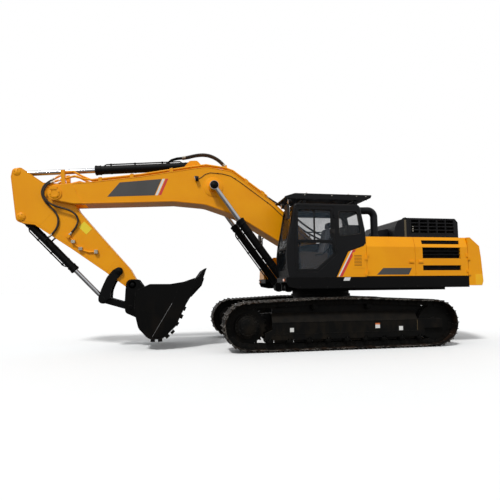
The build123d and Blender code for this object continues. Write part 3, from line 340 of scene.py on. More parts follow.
@dataclass(frozen=True)
class Lens:
    """Ribbed lamp lens or reflector over a bright bowl."""

    name: str
    colour: Colour
    ribs: float = 160.0

    def material(self) -> bpy.types.Material:
        """Builds the lens."""
        tree = Tree(self.name)
        wave = tree.add("ShaderNodeTexWave", Vector=tree.coords, Scale=self.ribs, bands_direction="Z")
        shade = tree.mix(tree.span(wave.outputs["Fac"], 0, 1, 0.0, 0.35), self.colour, rgb(120, 124, 130))
        normal = tree.bump(wave.outputs["Fac"], 0.3, 0.001)
        return tree.finish(Base_Color=shade, Roughness=0.12, Normal=normal, Coat_Weight=1.0, Metallic=0.2)


@dataclass(frozen=True)
class Weave:
    """Woven seat cloth with a soft sheen."""

    name: str
    colour: Colour
    thread: Colour

    def material(self) -> bpy.types.Material:
        """Builds the cloth."""
        tree = Tree(self.name)
        warp = tree.add("ShaderNodeTexWave", Vector=tree.coords, Scale=120.0, bands_direction="X")
        weft = tree.add("ShaderNodeTexWave", Vector=tree.coords, Scale=120.0, bands_direction="Z")
        cross = tree.maths("MULTIPLY", warp.outputs["Fac"], weft.outputs["Fac"])
        colour = tree.mix(cross, self.colour, self.thread)
        rough = tree.span(tree.noise(12, 4), 0.3, 0.7, 0.8, 0.95)
        normal = tree.bump(cross, 0.4, 0.0012)
        return tree.finish(Base_Color=colour, Roughness=rough, Normal=normal, Sheen_Weight=0.3)


DARK_WORN = rgb(92, 90, 86)
ORANGE = Enamel("orange enamel", rgb(250, 166, 8), rgb(245, 158, 6), coat=0.06, dust=0.05, shine=0.2)
BRIGHT_ORANGE = Enamel("bright orange plate", rgb(255, 188, 20), rgb(252, 178, 16), coat=0.1, dust=0.08,
                       shine=0.3)
BLACK = Enamel("black enamel", rgb(6, 6, 7), rgb(4, 4, 5), gloss=0.5, coat=0.0, dust=0.05, shine=0.1,
               worn=DARK_WORN)
TRACK_BLACK = Enamel("undercarriage enamel", rgb(6, 6, 5), rgb(4, 4, 4), gloss=0.55, coat=0.0, dust=0.06,
                     low_dust=0.03, shine=0.1, worn=DARK_WORN)
BUCKET_BLACK = Enamel("bucket enamel", rgb(5, 5, 5), rgb(3, 3, 3), gloss=0.55, coat=0.0, dust=0.06,
                      low_dust=0.02, shine=0.08, worn=DARK_WORN)
CAB_GREY = Enamel("cab enamel", rgb(8, 9, 12), rgb(5, 6, 8), gloss=0.42, coat=0.0, dust=0.04, shine=0.16,
                  worn=DARK_WORN)
HOOD_GREY = Enamel("hood enamel", rgb(14, 14, 18), rgb(9, 9, 12), gloss=0.48, coat=0.0, dust=0.08, shine=0.18,
                   worn=DARK_WORN)
WHITE_MARK = Enamel("white marking", rgb(236, 236, 232), rgb(224, 224, 220), gloss=0.45, dust=0.05, edge_mm=0)
RED_MARK = Enamel("red marking", rgb(214, 44, 38), rgb(200, 36, 32), gloss=0.4, dust=0.05, edge_mm=0)
DARK_MARK = Enamel("dark marking", rgb(58, 57, 56), rgb(50, 49, 48), gloss=0.45, dust=0.05, edge_mm=0)
YELLOW_MARK = Enamel("yellow marking", rgb(250, 222, 30), rgb(244, 212, 24), gloss=0.45, dust=0.05, edge_mm=0)
# Khaki strips; on the track frames they are painted highlights along edges.
KHAKI_STRIP = Enamel("khaki strip", rgb(96, 84, 60), rgb(80, 70, 50), gloss=0.5, dust=0.1, shine=0.3)
CHROME = Steel("polished rod", (0.40, 0.41, 0.43, 1), (0.27, 0.27, 0.28, 1), metal=1.0, rough=0.16,
               stained=0.25, grain=(1, 40, 1), grit=0.02, edge_mm=0)
# Its pale edge colour is partly painted highlight on the shoes' lips and partly wear on the grousers.
SHOE_STEEL = Steel("track shoe steel", rgb(14, 12, 10), rgb(50, 32, 18), metal=0.1, rough=0.55, stained=0.6,
                   grit=0.4, worn=rgb(190, 184, 174), wear=0.95, shine=0.14, edge_mm=8)
CHAIN_STEEL = Steel("track chain steel", rgb(9, 9, 8), rgb(20, 16, 11), metal=0.1, rough=0.55, stained=0.6,
                    worn=rgb(92, 84, 72), shine=0.12)
CAST = Steel("cast iron", rgb(8, 8, 7), rgb(14, 12, 9), metal=0.1, rough=0.55, stained=0.5, grit=0.4,
             worn=DARK_WORN, shine=0.1)
ZINC = Steel("zinc fastener", rgb(176, 172, 160), rgb(138, 118, 84), metal=0.9, rough=0.35, stained=0.4)
RUBBER = Plastic("hose rubber", rgb(44, 39, 35), rough=0.55, dust=0.18)
# Brown painted as the shadows in the louvre's slots.
LOUVRE_PAINTED_SHADOW = Enamel("louvre shadow", rgb(132, 72, 14), rgb(116, 62, 12), coat=0.0, dust=0.05, edge_mm=0,
                      shine=0.2)
# Pale grey painted as a highlight along an edge.
EDGE_HIGHLIGHT = Steel("rubbed edge", rgb(150, 150, 150), rgb(96, 94, 92), metal=0.4, rough=0.4, stained=0.5,
                  edge_mm=0)
SEAL = Plastic("window seal", rgb(16, 16, 17), rough=0.7, dust=0.05)
TRIM = Plastic("moulded trim", rgb(20, 20, 22), rough=0.55, dust=0.06)
PALE_TRIM = Plastic("pale moulded trim", rgb(58, 46, 36), rough=0.6, dust=0.05)
GLASS = Glazing("cab glass", rgb(30, 36, 40), body=0.26)
DOOR_GLASS = Glazing("door glass", rgb(70, 84, 96), body=0.12)
MIRROR = Steel("mirror glass", (0.86, 0.88, 0.9, 1), (0.8, 0.8, 0.82, 1), metal=1.0, rough=0.05, stained=0.1,
               grit=0.0, edge_mm=0)
LAMP_LENS = Lens("lamp lens", rgb(224, 226, 230))
ORANGE_LENS = Lens("orange lens", rgb(240, 120, 20))
RED_LENS = Lens("red lens", rgb(150, 20, 18))
SEAT_CLOTH = Weave("seat cloth", rgb(52, 52, 56), rgb(84, 84, 90))

_made: dict[str, bpy.types.Material] = {}


def dressed(finish: object) -> bpy.types.Material:
    """Returns a finish's material, built once."""
    if finish.name not in _made:
        _made[finish.name] = finish.material()
    return _made[finish.name]


# Mesh making


Ring = list[bmesh.types.BMVert]


def circle(place: Vector, across: Vector, beside: Vector, radius: float, sides: int) -> list[Vector]:
    """Returns places round a circle, in the plane of two directions."""
    turns = [math.tau * step / sides for step in range(sides)]
    return [place + (across * math.cos(t) + beside * math.sin(t)) * radius for t in turns]


class Form:
    """Collects solids in one mesh, in millimetres from the slew axis, and turns them into a riding piece."""

    def __init__(self) -> None:
        """Starts an empty form."""
        self.mesh = bmesh.new()

    def ring_of(self, points: list[Vector]) -> Ring:
        """Adds vertices and returns them."""
        return [self.mesh.verts.new(point) for point in points]

    def prism(self, low: list[Vector], high: list[Vector]) -> None:
        """Adds a closed prism between two outlines with as many points."""
        first, last = self.ring_of(low), self.ring_of(high)
        count = len(first)
        self.mesh.faces.new(first)
        self.mesh.faces.new(list(reversed(last)))
        for index in range(count):
            after = (index + 1) % count
            self.mesh.faces.new((first[index], last[index], last[after], first[after]))

    def side(self, points: list[Point2], y0: float, y1: float) -> None:
        """Adds an outline of x and z, thick from y0 to y1."""
        self.prism([at(x, y0, z) for x, z in points], [at(x, y1, z) for x, z in points])

    def cross(self, points: list[Point2], x0: float, x1: float) -> None:
        """Adds an outline of y and z, thick from x0 to x1."""
        self.prism([at(x0, y, z) for y, z in points], [at(x1, y, z) for y, z in points])

    def flat(self, points: list[Point2], z0: float, z1: float) -> None:
        """Adds an outline of x and y, thick from z0 to z1."""
        self.prism([at(x, y, z0) for x, y in points], [at(x, y, z1) for x, y in points])

    def box(self, x: Point2, y: Point2, z: Point2) -> None:
        """Adds a block between two values on each axis."""
        self.flat([(x[0], y[0]), (x[1], y[0]), (x[1], y[1]), (x[0], y[1])], z[0], z[1])

    def drum(self, start: Point3, end: Point3, radius: float, sides: int = 24) -> None:
        """Adds a round bar from start to end."""
        low, high = at(*start), at(*end)
        run = (high - low).normalized()
        across = run.orthogonal().normalized()
        beside = run.cross(across)
        self.prism(*(circle(place, across, beside, radius * MM, sides) for place in (low, high)))

    def skin(self, rings: list[Ring], closed: bool = False) -> None:
        """Joins rings with faces, and either caps both ends or, where closed, joins them too."""
        for low, high in zip(rings, rings[1:] + (rings[:1] if closed else [])):
            for index in range(len(low)):
                after = (index + 1) % len(low)
                self.mesh.faces.new((low[index], low[after], high[after], high[index]))
        if not closed:
            self.mesh.faces.new(list(reversed(rings[0])))
            self.mesh.faces.new(rings[-1])

    def tube(self, points: list[Point3], radius: float, sides: int = 10) -> None:
        """Adds a bent round tube through points, its rings turned with its bends."""
        self.sweep([at(*point) for point in points], radius * MM, sides)

    def sweep(self, places: list[Vector], radius: float, sides: int) -> None:
        """Adds a closed tube along places given in metres."""
        rings = []
        across = None
        for index, place in enumerate(places):
            before = places[max(index - 1, 0)]
            after = places[min(index + 1, len(places) - 1)]
            run = (after - before).normalized()
            if across is None:
                across = run.orthogonal().normalized()
            across = (across - run * across.dot(run)).normalized()
            rings.append(self.ring_of(circle(place, across, run.cross(across), radius, sides)))
        self.skin(rings)

    def loop(self, points: list[Point3], radius: float, sides: int = 8) -> None:
        """Adds a closed tube round an outline that lies in a side plane."""
        places = [at(*point) for point in points]
        across = Vector((0, 1, 0))
        rings = []
        for index, place in enumerate(places):
            run = (places[(index + 1) % len(places)] - places[index - 1]).normalized()
            rings.append(self.ring_of(circle(place, across, run.cross(across), radius * MM, sides)))
        self.skin(rings, closed=True)

    def lathe(self, centre: Point3, axis: Point3, profile: list[Point2], sides: int = 32,
              ring: bool = False) -> None:
        """Adds a turned solid from distances along the axis and radii, or a ring with them as its section."""
        middle, run = at(*centre), Vector(axis).normalized()
        across = run.orthogonal().normalized()
        beside = run.cross(across)
        self.skin([self.ring_of(circle(middle + run * along * MM, across, beside,
                                       max(radius, LEAST_RADIUS) * MM, sides))
                   for along, radius in profile], closed=ring)

    def soften(self, width: float, segments: int = 2, angle: float = 35.0) -> None:
        """Rounds the sharp edges by a width in millimetres."""
        edges = [edge for edge in self.mesh.edges
                 if len(edge.link_faces) == 2 and edge.calc_face_angle() > math.radians(angle)]
        bmesh.ops.bevel(self.mesh, geom=edges, offset=width * MM, segments=segments, affect="EDGES",
                        profile=0.5, clamp_overlap=True)

    def piece(self, name: str, finish: object, body: Body, slot: Slot) -> bpy.types.Object:
        """Makes the riding piece.

        Args:
            name: The piece's name.
            finish: Its finish.
            body: The CAD body it rides on.
            slot: The record's slot; not used.

        Returns:
            The new object.
        """
        return ride_mesh(self.shape(name), name, finish, body)

    def shape(self, name: str) -> bpy.types.Mesh:
        """Closes the form and returns it as a plain mesh."""
        bmesh.ops.recalc_face_normals(self.mesh, faces=self.mesh.faces[:])
        data = bpy.data.meshes.new(name)
        self.mesh.to_mesh(data)
        self.mesh.free()
        return data


def shade_smooth(data: bpy.types.Mesh, degrees: float) -> None:
    """Shades a mesh smooth, but for edges sharper than an angle."""
    data.polygons.foreach_set("use_smooth", [True] * len(data.polygons))
    data.set_sharp_from_angle(angle=math.radians(degrees))


def ride_mesh(data: bpy.types.Mesh, name: str, finish: object, body: Body,
              replaces: tuple[str, ...] = ()) -> bpy.types.Object:
    """Puts a mesh in the scene as a piece with a finish, on a body, and returns its object."""
    data.materials.clear()
    data.materials.append(dressed(finish))
    shade_smooth(data, SMOOTH_DEGREES)
    piece = placed(name, data)
    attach(piece, body.value)
    if replaces:
        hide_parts(*replaces)
    log.info("%s on %s: %d faces", name, body.value, len(data.polygons))
    return piece


def dress(finish: object, *nodes: str) -> None:
    """Gives CAD nodes a finish."""
    for node in nodes:
        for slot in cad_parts[node].material_slots:
            slot.material = dressed(finish)


# Repeats with Geometry Nodes


class Repeater:
    """A Geometry Nodes tree that puts a copy of one mesh at each point of a route or a cloud."""

    def __init__(self, name: str, along_route: bool) -> None:
        """Builds the tree.

        Args:
            name: The tree's name.
            along_route: True to turn each copy along a closed route, False to use each point's stored turn.
        """
        self.tree = bpy.data.node_groups.new(name, "GeometryNodeTree")
        face = self.tree.interface
        face.new_socket("Route", in_out="INPUT", socket_type="NodeSocketGeometry")
        self.copy_socket = face.new_socket("Copy", in_out="INPUT", socket_type="NodeSocketObject").identifier
        self.count_socket = face.new_socket("Count", in_out="INPUT", socket_type="NodeSocketInt").identifier
        self.finish_socket = face.new_socket("Finish", in_out="INPUT",
                                             socket_type="NodeSocketMaterial").identifier
        face.new_socket("Made", in_out="OUTPUT", socket_type="NodeSocketGeometry")
        nodes, links = self.tree.nodes, self.tree.links
        start, end = nodes.new("NodeGroupInput"), nodes.new("NodeGroupOutput")
        source = nodes.new("GeometryNodeObjectInfo")
        source.transform_space = "ORIGINAL"
        links.new(start.outputs["Copy"], source.inputs["Object"])
        put = nodes.new("GeometryNodeInstanceOnPoints")
        links.new(source.outputs["Geometry"], put.inputs["Instance"])
        if along_route:
            spread = nodes.new("GeometryNodeResampleCurve")
            spread.mode = "COUNT"
            links.new(start.outputs["Route"], spread.inputs["Curve"])
            links.new(start.outputs["Count"], spread.inputs["Count"])
            run = nodes.new("GeometryNodeInputTangent")
            turn = nodes.new("FunctionNodeAlignRotationToVector")
            turn.axis, turn.pivot_axis = "X", "Y"
            links.new(run.outputs[0], turn.inputs["Vector"])
            links.new(spread.outputs[0], put.inputs["Points"])
            links.new(turn.outputs[0], put.inputs["Rotation"])
        else:
            stored = nodes.new("GeometryNodeInputNamedAttribute")
            stored.data_type = "FLOAT_VECTOR"
            stored.inputs["Name"].default_value = "turn"
            euler = nodes.new("FunctionNodeEulerToRotation")
            links.new(stored.outputs["Attribute"], euler.inputs[0])
            links.new(start.outputs["Route"], put.inputs["Points"])
            links.new(euler.outputs[0], put.inputs["Rotation"])
        real = nodes.new("GeometryNodeRealizeInstances")
        paint = nodes.new("GeometryNodeSetMaterial")
        links.new(put.outputs[0], real.inputs[0])
        links.new(real.outputs[0], paint.inputs["Geometry"])
        links.new(start.outputs["Finish"], paint.inputs["Material"])
        links.new(paint.outputs[0], end.inputs[0])

    def run(self, route: bpy.types.Object, copy: bpy.types.Mesh, count: int,
            finish: object) -> bpy.types.Mesh:
        """Runs the tree on a route and returns the plain mesh that it makes."""
        source = placed("copy source", copy)
        modifier = route.modifiers.new("repeat", "NODES")
        modifier.node_group = self.tree
        modifier[self.copy_socket] = source
        modifier[self.count_socket] = count
        modifier[self.finish_socket] = dressed(finish)
        bpy.context.view_layer.update()
        shown = route.evaluated_get(bpy.context.evaluated_depsgraph_get())
        made = bpy.data.meshes.new_from_object(shown)
        route.modifiers.clear()
        for spent in (route, source):
            bpy.data.objects.remove(spent)
        return made


@dataclass
class Scatter:
    """Places with a turn each, where copies of one small shape go."""

    places: list[Vector] = field(default_factory=list)
    turns: list[Point3] = field(default_factory=list)

    def put(self, place: Point3, axis: Point3) -> None:
        """Adds a place in millimetres whose copy stands out along the axis."""
        self.places.append(at(*place))
        self.turns.append(tuple(Vector(axis).to_track_quat("Z", "Y").to_euler()))

    def circle(self, centre: Point3, axis: Point3, radius: float, count: int, start: float = 0.0) -> None:
        """Adds places round a circle."""
        run = Vector(axis).normalized()
        across = run.orthogonal().normalized()
        beside = run.cross(across)
        for step in range(count):
            angle = start + math.tau * step / count
            spot = Vector(centre) + (across * math.cos(angle) + beside * math.sin(angle)) * radius
            self.put(tuple(spot), axis)

    def line(self, start: Point3, end: Point3, count: int, axis: Point3) -> None:
        """Adds places on a line, both its ends included."""
        for step in range(count):
            spot = Vector(start).lerp(Vector(end), step / max(count - 1, 1))
            self.put(tuple(spot), axis)

    def piece(self, name: str, copy: bpy.types.Mesh, finish: object, body: Body,
              slot: Slot) -> bpy.types.Object:
        """Runs the cloud through Geometry Nodes and returns the riding piece."""
        cloud = bpy.data.meshes.new(name + " places")
        cloud.from_pydata([tuple(place) for place in self.places], [], [])
        stored = cloud.attributes.new("turn", "FLOAT_VECTOR", "POINT")
        stored.data.foreach_set("vector", [number for turn in self.turns for number in turn])
        route = placed(name + " cloud", cloud)
        made = Repeater(name + " repeat", along_route=False).run(route, copy, len(self.places), finish)
        return ride_mesh(made, name, finish, body)


def bolt_mesh(size: float, height: float) -> bpy.types.Mesh:
    """Makes a hexagon head on a washer, at the origin and standing along Z."""
    form = Form()
    washer = height * 0.3
    form.lathe((-SLEW_X, 0, 0), (0, 0, 1), [(0, size * 1.3), (washer, size * 1.3)], 14)
    form.drum((-SLEW_X, 0, washer), (-SLEW_X, 0, height), size, 6)
    return form.shape("bolt")


# Undercarriage


@dataclass
class Tracks:
    """Both track chains with their shoes, and the trim of the frames, sprockets and idlers."""

    track_y: float = 1370.0
    shoe_count: int = 52
    shoe_half: float = 298.0
    plate_low: float = 48.0
    plate_high: float = 62.0
    grouser_top: float = 92.0
    turn_step: float = 4.0
    rail_in: float = 70.0
    rail_out: float = 108.0
    sprocket: Point2 = (2120.0, 535.0)
    rollers: tuple[float, ...] = tuple(1650 - step * 3390 / 8 for step in range(9))
    roller_z: float = 224.0
    carriers: Point2 = (648, -587)
    carrier_z: float = 902.0
    wheels: tuple[Point3, ...] = (
        (-587, 902, 115), (648, 902, 115), (2120, 535, 417), (1650, 224, 130), (-1740, 224, 130),
        (-2130, 525, 417))

    def belt(self) -> list[Point2]:
        """Returns close points of the pitch line, forward along its top."""
        points: list[Point2] = []
        count = len(self.wheels)
        touches = []
        for index in range(count):
            x0, z0, r0 = self.wheels[index]
            x1, z1, r1 = self.wheels[(index + 1) % count]
            length = math.hypot(x1 - x0, z1 - z0)
            run = ((x1 - x0) / length, (z1 - z0) / length)
            lean = (r0 - r1) / length
            level = math.sqrt(1 - lean * lean)
            out = (-run[1] * level + run[0] * lean, run[0] * level + run[1] * lean)
            touches.append(((x0 + r0 * out[0], z0 + r0 * out[1]), (x1 + r1 * out[0], z1 + r1 * out[1])))
        for index in range(count):
            x, z, radius = self.wheels[index]
            arrive, leave = touches[index - 1][1], touches[index][0]
            start = math.atan2(arrive[1] - z, arrive[0] - x)
            end = math.atan2(leave[1] - z, leave[0] - x)
            while end > start:
                end -= math.tau
            steps = max(2, int((start - end) / math.radians(self.turn_step)))
            for step in range(steps + 1):
                angle = start + (end - start) * step / steps
                points.append((x + radius * math.cos(angle), z + radius * math.sin(angle)))
        return points

    def route(self, way: int) -> tuple[bpy.types.Object, float]:
        """Makes the closed route curve of one side, and gives its length in millimetres."""
        points = self.belt()
        length = sum(math.dist(a, b) for a, b in zip(points, points[1:] + points[:1]))
        curve = bpy.data.curves.new("belt route", "CURVE")
        curve.dimensions = "3D"
        spline = curve.splines.new("POLY")
        spline.points.add(len(points) - 1)
        for spot, (x, z) in zip(spline.points, points):
            spot.co = (*at(x, way * self.track_y, z), 1)
        spline.use_cyclic_u = True
        route = placed("belt route", curve)
        return route, length

    def shoe(self, pitch: float) -> bpy.types.Mesh:
        """Makes one double grouser shoe with turned lips and bolts, along X with Z outwards."""
        form = Form()
        x0, half = -SLEW_X, pitch / 2
        low, high, top = self.plate_low, self.plate_high, self.grouser_top
        outline = [(-half + 2, low), (half - 26, low), (half - 4, low - 8), (half + 40, low - 5),
                   (half + 40, low), (half - 4, high - 4), (half - 22, high), (0.25 * pitch, high + 3),
                   (0.215 * pitch, top), (0.165 * pitch, top), (0.13 * pitch, high + 3),
                   (-0.25 * pitch, high + 3), (-0.285 * pitch, top), (-0.335 * pitch, top),
                   (-0.37 * pitch, high + 3), (-half + 4, high)]
        form.side([(x0 + x, z) for x, z in outline], -self.shoe_half, self.shoe_half)
        form.soften(3, 1, 40)
        for y in (-89, 89):
            for x in (-0.17, 0.02):
                form.lathe((x0 + x * pitch - 8, y, high), (0, 0, 1), [(-2, 17), (12, 17), (15, 13)], 8)
        return form.shape("shoe")

    def link(self, pitch: float) -> bpy.types.Mesh:
        """Makes one pair of chain links with their pin and bush, along X with Z outwards."""
        form = Form()
        x0, half = -SLEW_X, pitch / 2
        for way in WAYS:
            for shift, ends in ((0, (-half - 26, 12)), (13, (-12, half + 26))):
                y0, y1 = way * (self.rail_in + shift), way * (self.rail_out - 13 + shift)
                first, last = ends
                outline = [(first, -30), (first + 16, -60), (last - 12, -60), (last, -32), (last, 30),
                           (last - 10, self.plate_low), (first + 22, self.plate_low), (first, 24)]
                form.side([(x0 + x, z) for x, z in outline], y0, y1)
            form.drum((x0 - half, way * (self.rail_out + 1), 0), (x0 - half, way * (self.rail_out + 8), 0),
                      25, 14)
        form.drum((x0 - half, -self.rail_in, 0), (x0 - half, self.rail_in, 0), 30, 14)
        return form.shape("link")

    def chains(self) -> None:
        """Makes the shoes and the chains of both sides with Geometry Nodes."""
        for side, way in SIDES:
            for name, shape, finish, replaces in (("shoes", self.shoe, SHOE_STEEL, (f"track_{side}",)),
                                                  ("links", self.link, CHAIN_STEEL, ())):
                route, length = self.route(way)
                copy = shape(length / self.shoe_count)
                made = Repeater(f"{name} {side}", True).run(route, copy, self.shoe_count, finish)
                ride_mesh(made, f"track_{name}_{side}", finish, Body.TRACKS, replaces)

    def drive(self, side: str, way: int) -> None:
        """Makes the drive's cover with its bolts, and the rollers' bolts in the frame."""
        x, z = self.sprocket
        y = way * self.track_y
        face = y + way * 186
        form = Form()
        form.lathe((x, face, z), (0, way, 0), [(-30, 205), (6, 205), (12, 198), (12, 168), (24, 160),
                                               (30, 120), (34, 60), (34, 0)], 48)
        form.piece(f"drive_cover_{side}", TRACK_BLACK, Body.TRACKS, Slot.BLACK)
        bolts = Scatter()
        bolts.circle((x, y + way * 125, z), (0, way, 0), 235, 20)
        bolts.circle((x, face + way * 12, z), (0, way, 0), 184, 12, 0.2)
        bolts.circle((x, face + way * 28, z), (0, way, 0), 110, 6, 0.1)
        for roller in self.rollers:
            bolts.circle((roller, y + way * 191, self.roller_z + 26), (0, way, 0), 1, 1)
        bolts.piece(f"drive_bolts_{side}", bolt_mesh(13, 10), TRACK_BLACK, Body.TRACKS, Slot.BLACK)

    def roller_caps(self, side: str, way: int) -> None:
        """Makes the end caps of the track rollers and the carrier rollers."""
        y, axis = way * self.track_y, (0, way, 0)
        form = Form()
        for x in self.rollers:
            form.lathe((x, y + way * 150, self.roller_z), axis,
                       [(0, 62), (34, 62), (40, 52), (40, 20), (46, 14), (46, 0)], 24)
        for x in self.carriers:
            form.lathe((x, y + way * 119, self.carrier_z), axis, [(0, 60), (20, 60), (26, 48), (26, 0)], 24)
        form.piece(f"roller_caps_{side}", CAST, Body.TRACKS, Slot.TRACK)

    def frame_trim(self, side: str, way: int) -> None:
        """Makes the frame's guards, a dark web that fills the gap under the upper run as painted shade, khaki
        strips painted as highlights on its edges, its beads and its blank labels.
        """
        y = way * self.track_y
        # The web is a dark sheet guessed to fill the gap under the upper run, standing in for the shade
        # there; the plates at the rollers are guards.
        form = Form()
        form.side([(1600, 640), (1560, 880), (1300, 912), (600, 980), (-587, 980), (-1100, 948), (-1500, 920),
                   (-1880, 892), (-1940, 872), (-1838, 790), (-1772, 700), (-1752, 640)],
                  y - way * 20, y + way * 20)
        for x in self.rollers[1:]:
            form.side(rounded([(x + 96, 178, 20), (x + 328, 178, 20), (x + 328, 330), (x + 96, 330)]),
                      y + way * 112, y + way * 124)
        form.piece(f"frame_guards_{side}", TRACK_BLACK, Body.TRACKS, Slot.BLACK)
        # Khaki strips on the end post and the yoke, painted as highlights along their edges.
        worn = Form()
        worn.box((-1688, -1680), (y + way * 186, y + way * 195), (352, 604))
        worn.box((-2280, -1690), (y + way * 171, y + way * 177), (476, 482))
        worn.piece(f"frame_worn_edges_{side}", KHAKI_STRIP, Body.TRACKS, Slot.BLACK)
        beads = Form()
        beads.box((1494, 1506), (y + way * 188, y + way * 197), (352, 604))
        for z in (356, 597):
            beads.box((-1690, 1560), (y + way * 188, y + way * 196), (z - 5, z + 5))
        beads.piece(f"frame_beads_{side}", TRACK_BLACK, Body.TRACKS, Slot.BLACK)
        for name, finish, x, z in (
                ("front", WHITE_MARK, (1140, 1225), (397, 482)),
                ("middle", WHITE_MARK, (-795, -690), (430, 505)),
                ("middle_top", ORANGE_LENS, (-795, -690), (505, 540)),
                ("rear", WHITE_MARK, (-1335, -1244), (372, 461))):
            label = Form()
            label.box(x, (y + way * 189, y + way * 192), z)
            label.piece(f"frame_label_{name}_{side}", finish, Body.TRACKS, Slot.BLACK)

    def build(self) -> None:
        """Makes both chains and the trim of both sides."""
        self.chains()
        for side, way in SIDES:
            self.drive(side, way)
            self.roller_caps(side, way)
            self.frame_trim(side, way)


# Outlines


def rounded(corners: list[tuple[float, ...]], steps: int = 5) -> list[Point2]:
    """Rounds an outline's corners: each is two numbers and, where it is round, its radius."""
    points: list[Point2] = []
    for index, corner in enumerate(corners):
        here = Vector(corner[:2])
        if len(corner) < 3:
            points.append((here.x, here.y))
            continue
        back = Vector(corners[index - 1][:2]) - here
        on = Vector(corners[(index + 1) % len(corners)][:2]) - here
        reach = min(corner[2] / math.tan(back.angle(on) / 2), MOST_REACH * min(back.length, on.length))
        start, end = here + back.normalized() * reach, here + on.normalized() * reach
        for step in range(steps + 1):
            share = step / steps
            spot = start.lerp(here, share).lerp(here.lerp(end, share), share)
            points.append((spot.x, spot.y))
    return points


def plate(x: Point2, z: Point2, radius: float) -> list[Point2]:
    """Returns a rectangle with four round corners."""
    return rounded([(x[0], z[0], radius), (x[1], z[0], radius), (x[1], z[1], radius), (x[0], z[1], radius)])


def shrunk(points: list[Point2], amount: float) -> list[Point2]:
    """Moves a closed outline in by an amount, or out where it is negative."""
    count = len(points)
    area = sum(points[i - 1][0] * points[i][1] - points[i][0] * points[i - 1][1] for i in range(count))
    turn = 1 if area > 0 else -1
    moved: list[Point2] = []
    for index in range(count):
        here = Vector(points[index])
        first = (here - Vector(points[index - 1])).normalized()
        second = (Vector(points[(index + 1) % count]) - here).normalized()
        inward = Vector((-(first + second).y, (first + second).x)) * turn
        if inward.length < 1e-6:
            continue
        inward.normalize()
        slope = max(LEAST_SLOPE, Vector((-first.y, first.x)).dot(inward) * turn)
        spot = here + inward * amount / slope
        moved.append((spot.x, spot.y))
    return moved


def cut(points: list[Point2], level: float, above: bool) -> list[Point2]:
    """Keeps the part of a closed outline that lies above or below a level."""
    kept: list[Point2] = []
    for index, here in enumerate(points):
        before = points[index - 1]
        inside = [(z >= level) == above for z in (before[1], here[1])]
        if inside[0] != inside[1]:
            share = (level - before[1]) / (here[1] - before[1])
            kept.append((before[0] + (here[0] - before[0]) * share, level))
        if inside[1]:
            kept.append(here)
    return kept


# Hoses


@dataclass(frozen=True)
class Hose:
    """A free hose: its route on the left in millimetres, its radius and the joint that it crosses."""

    name: str
    radius: float
    route: tuple[Point3, ...]
    bodies: tuple[Body, Body]
    bend: tuple[Point3, Point3]

    def line(self, way: int) -> list[Vector]:
        """Returns the close places, in metres, of the smooth line that the route's points pull."""
        places = [at(x, way * y, z) for x, y, z in self.route]
        curve = bpy.data.curves.new(self.name + " line", "CURVE")
        curve.dimensions, curve.resolution_u = "3D", 8
        spline = curve.splines.new("NURBS")
        spline.points.add(len(places) - 1)
        for spot, place in zip(spline.points, places):
            spot.co = (*place, 1)
        spline.order_u = 3
        spline.use_endpoint_u = True
        holder = placed(self.name + " line", curve)
        bpy.context.view_layer.update()
        made = bpy.data.meshes.new_from_object(holder.evaluated_get(bpy.context.evaluated_depsgraph_get()))
        path = [vertex.co.copy() for vertex in made.vertices]
        bpy.data.objects.remove(holder)
        return path

    def build(self, side: str, way: int) -> None:
        """Makes the hose on one side, in place of its CAD part."""
        path = self.line(way)
        form = Form()
        form.sweep(path, self.radius * MM, sides=14)
        data = form.shape(f"{self.name}_{side}_rubber")
        shade_smooth(data, HOSE_SMOOTH_DEGREES)
        data.materials.append(dressed(RUBBER))
        piece = placed(f"{self.name}_{side}_rubber", data)
        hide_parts(f"{self.name}_{side}")
        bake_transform(piece)

    def ferrules(self, way: int) -> list[tuple[Body, Form]]:
        """Makes the crimped collars at both ends, each with the body that it stays on."""
        path = self.line(way)
        found = []
        for body, spots in ((self.bodies[0], path), (self.bodies[1], path[::-1])):
            start = spots[0]
            run = (spots[1] - start).normalized()
            form = Form()
            place = tuple(Vector((start.x / MM - SLEW_X, start.y / MM, start.z / MM)))
            r = self.radius
            form.lathe(place, tuple(run), [(-14, r + 1), (0, r + 1), (2, r + 3), (22, r + 3), (25, r + 1),
                                           (36, r + 2), (40, r + 1), (51, r + 2), (55, r + 1), (66, r + 2),
                                           (70, r + 1)], 18)
            found.append((body, form))
        return found


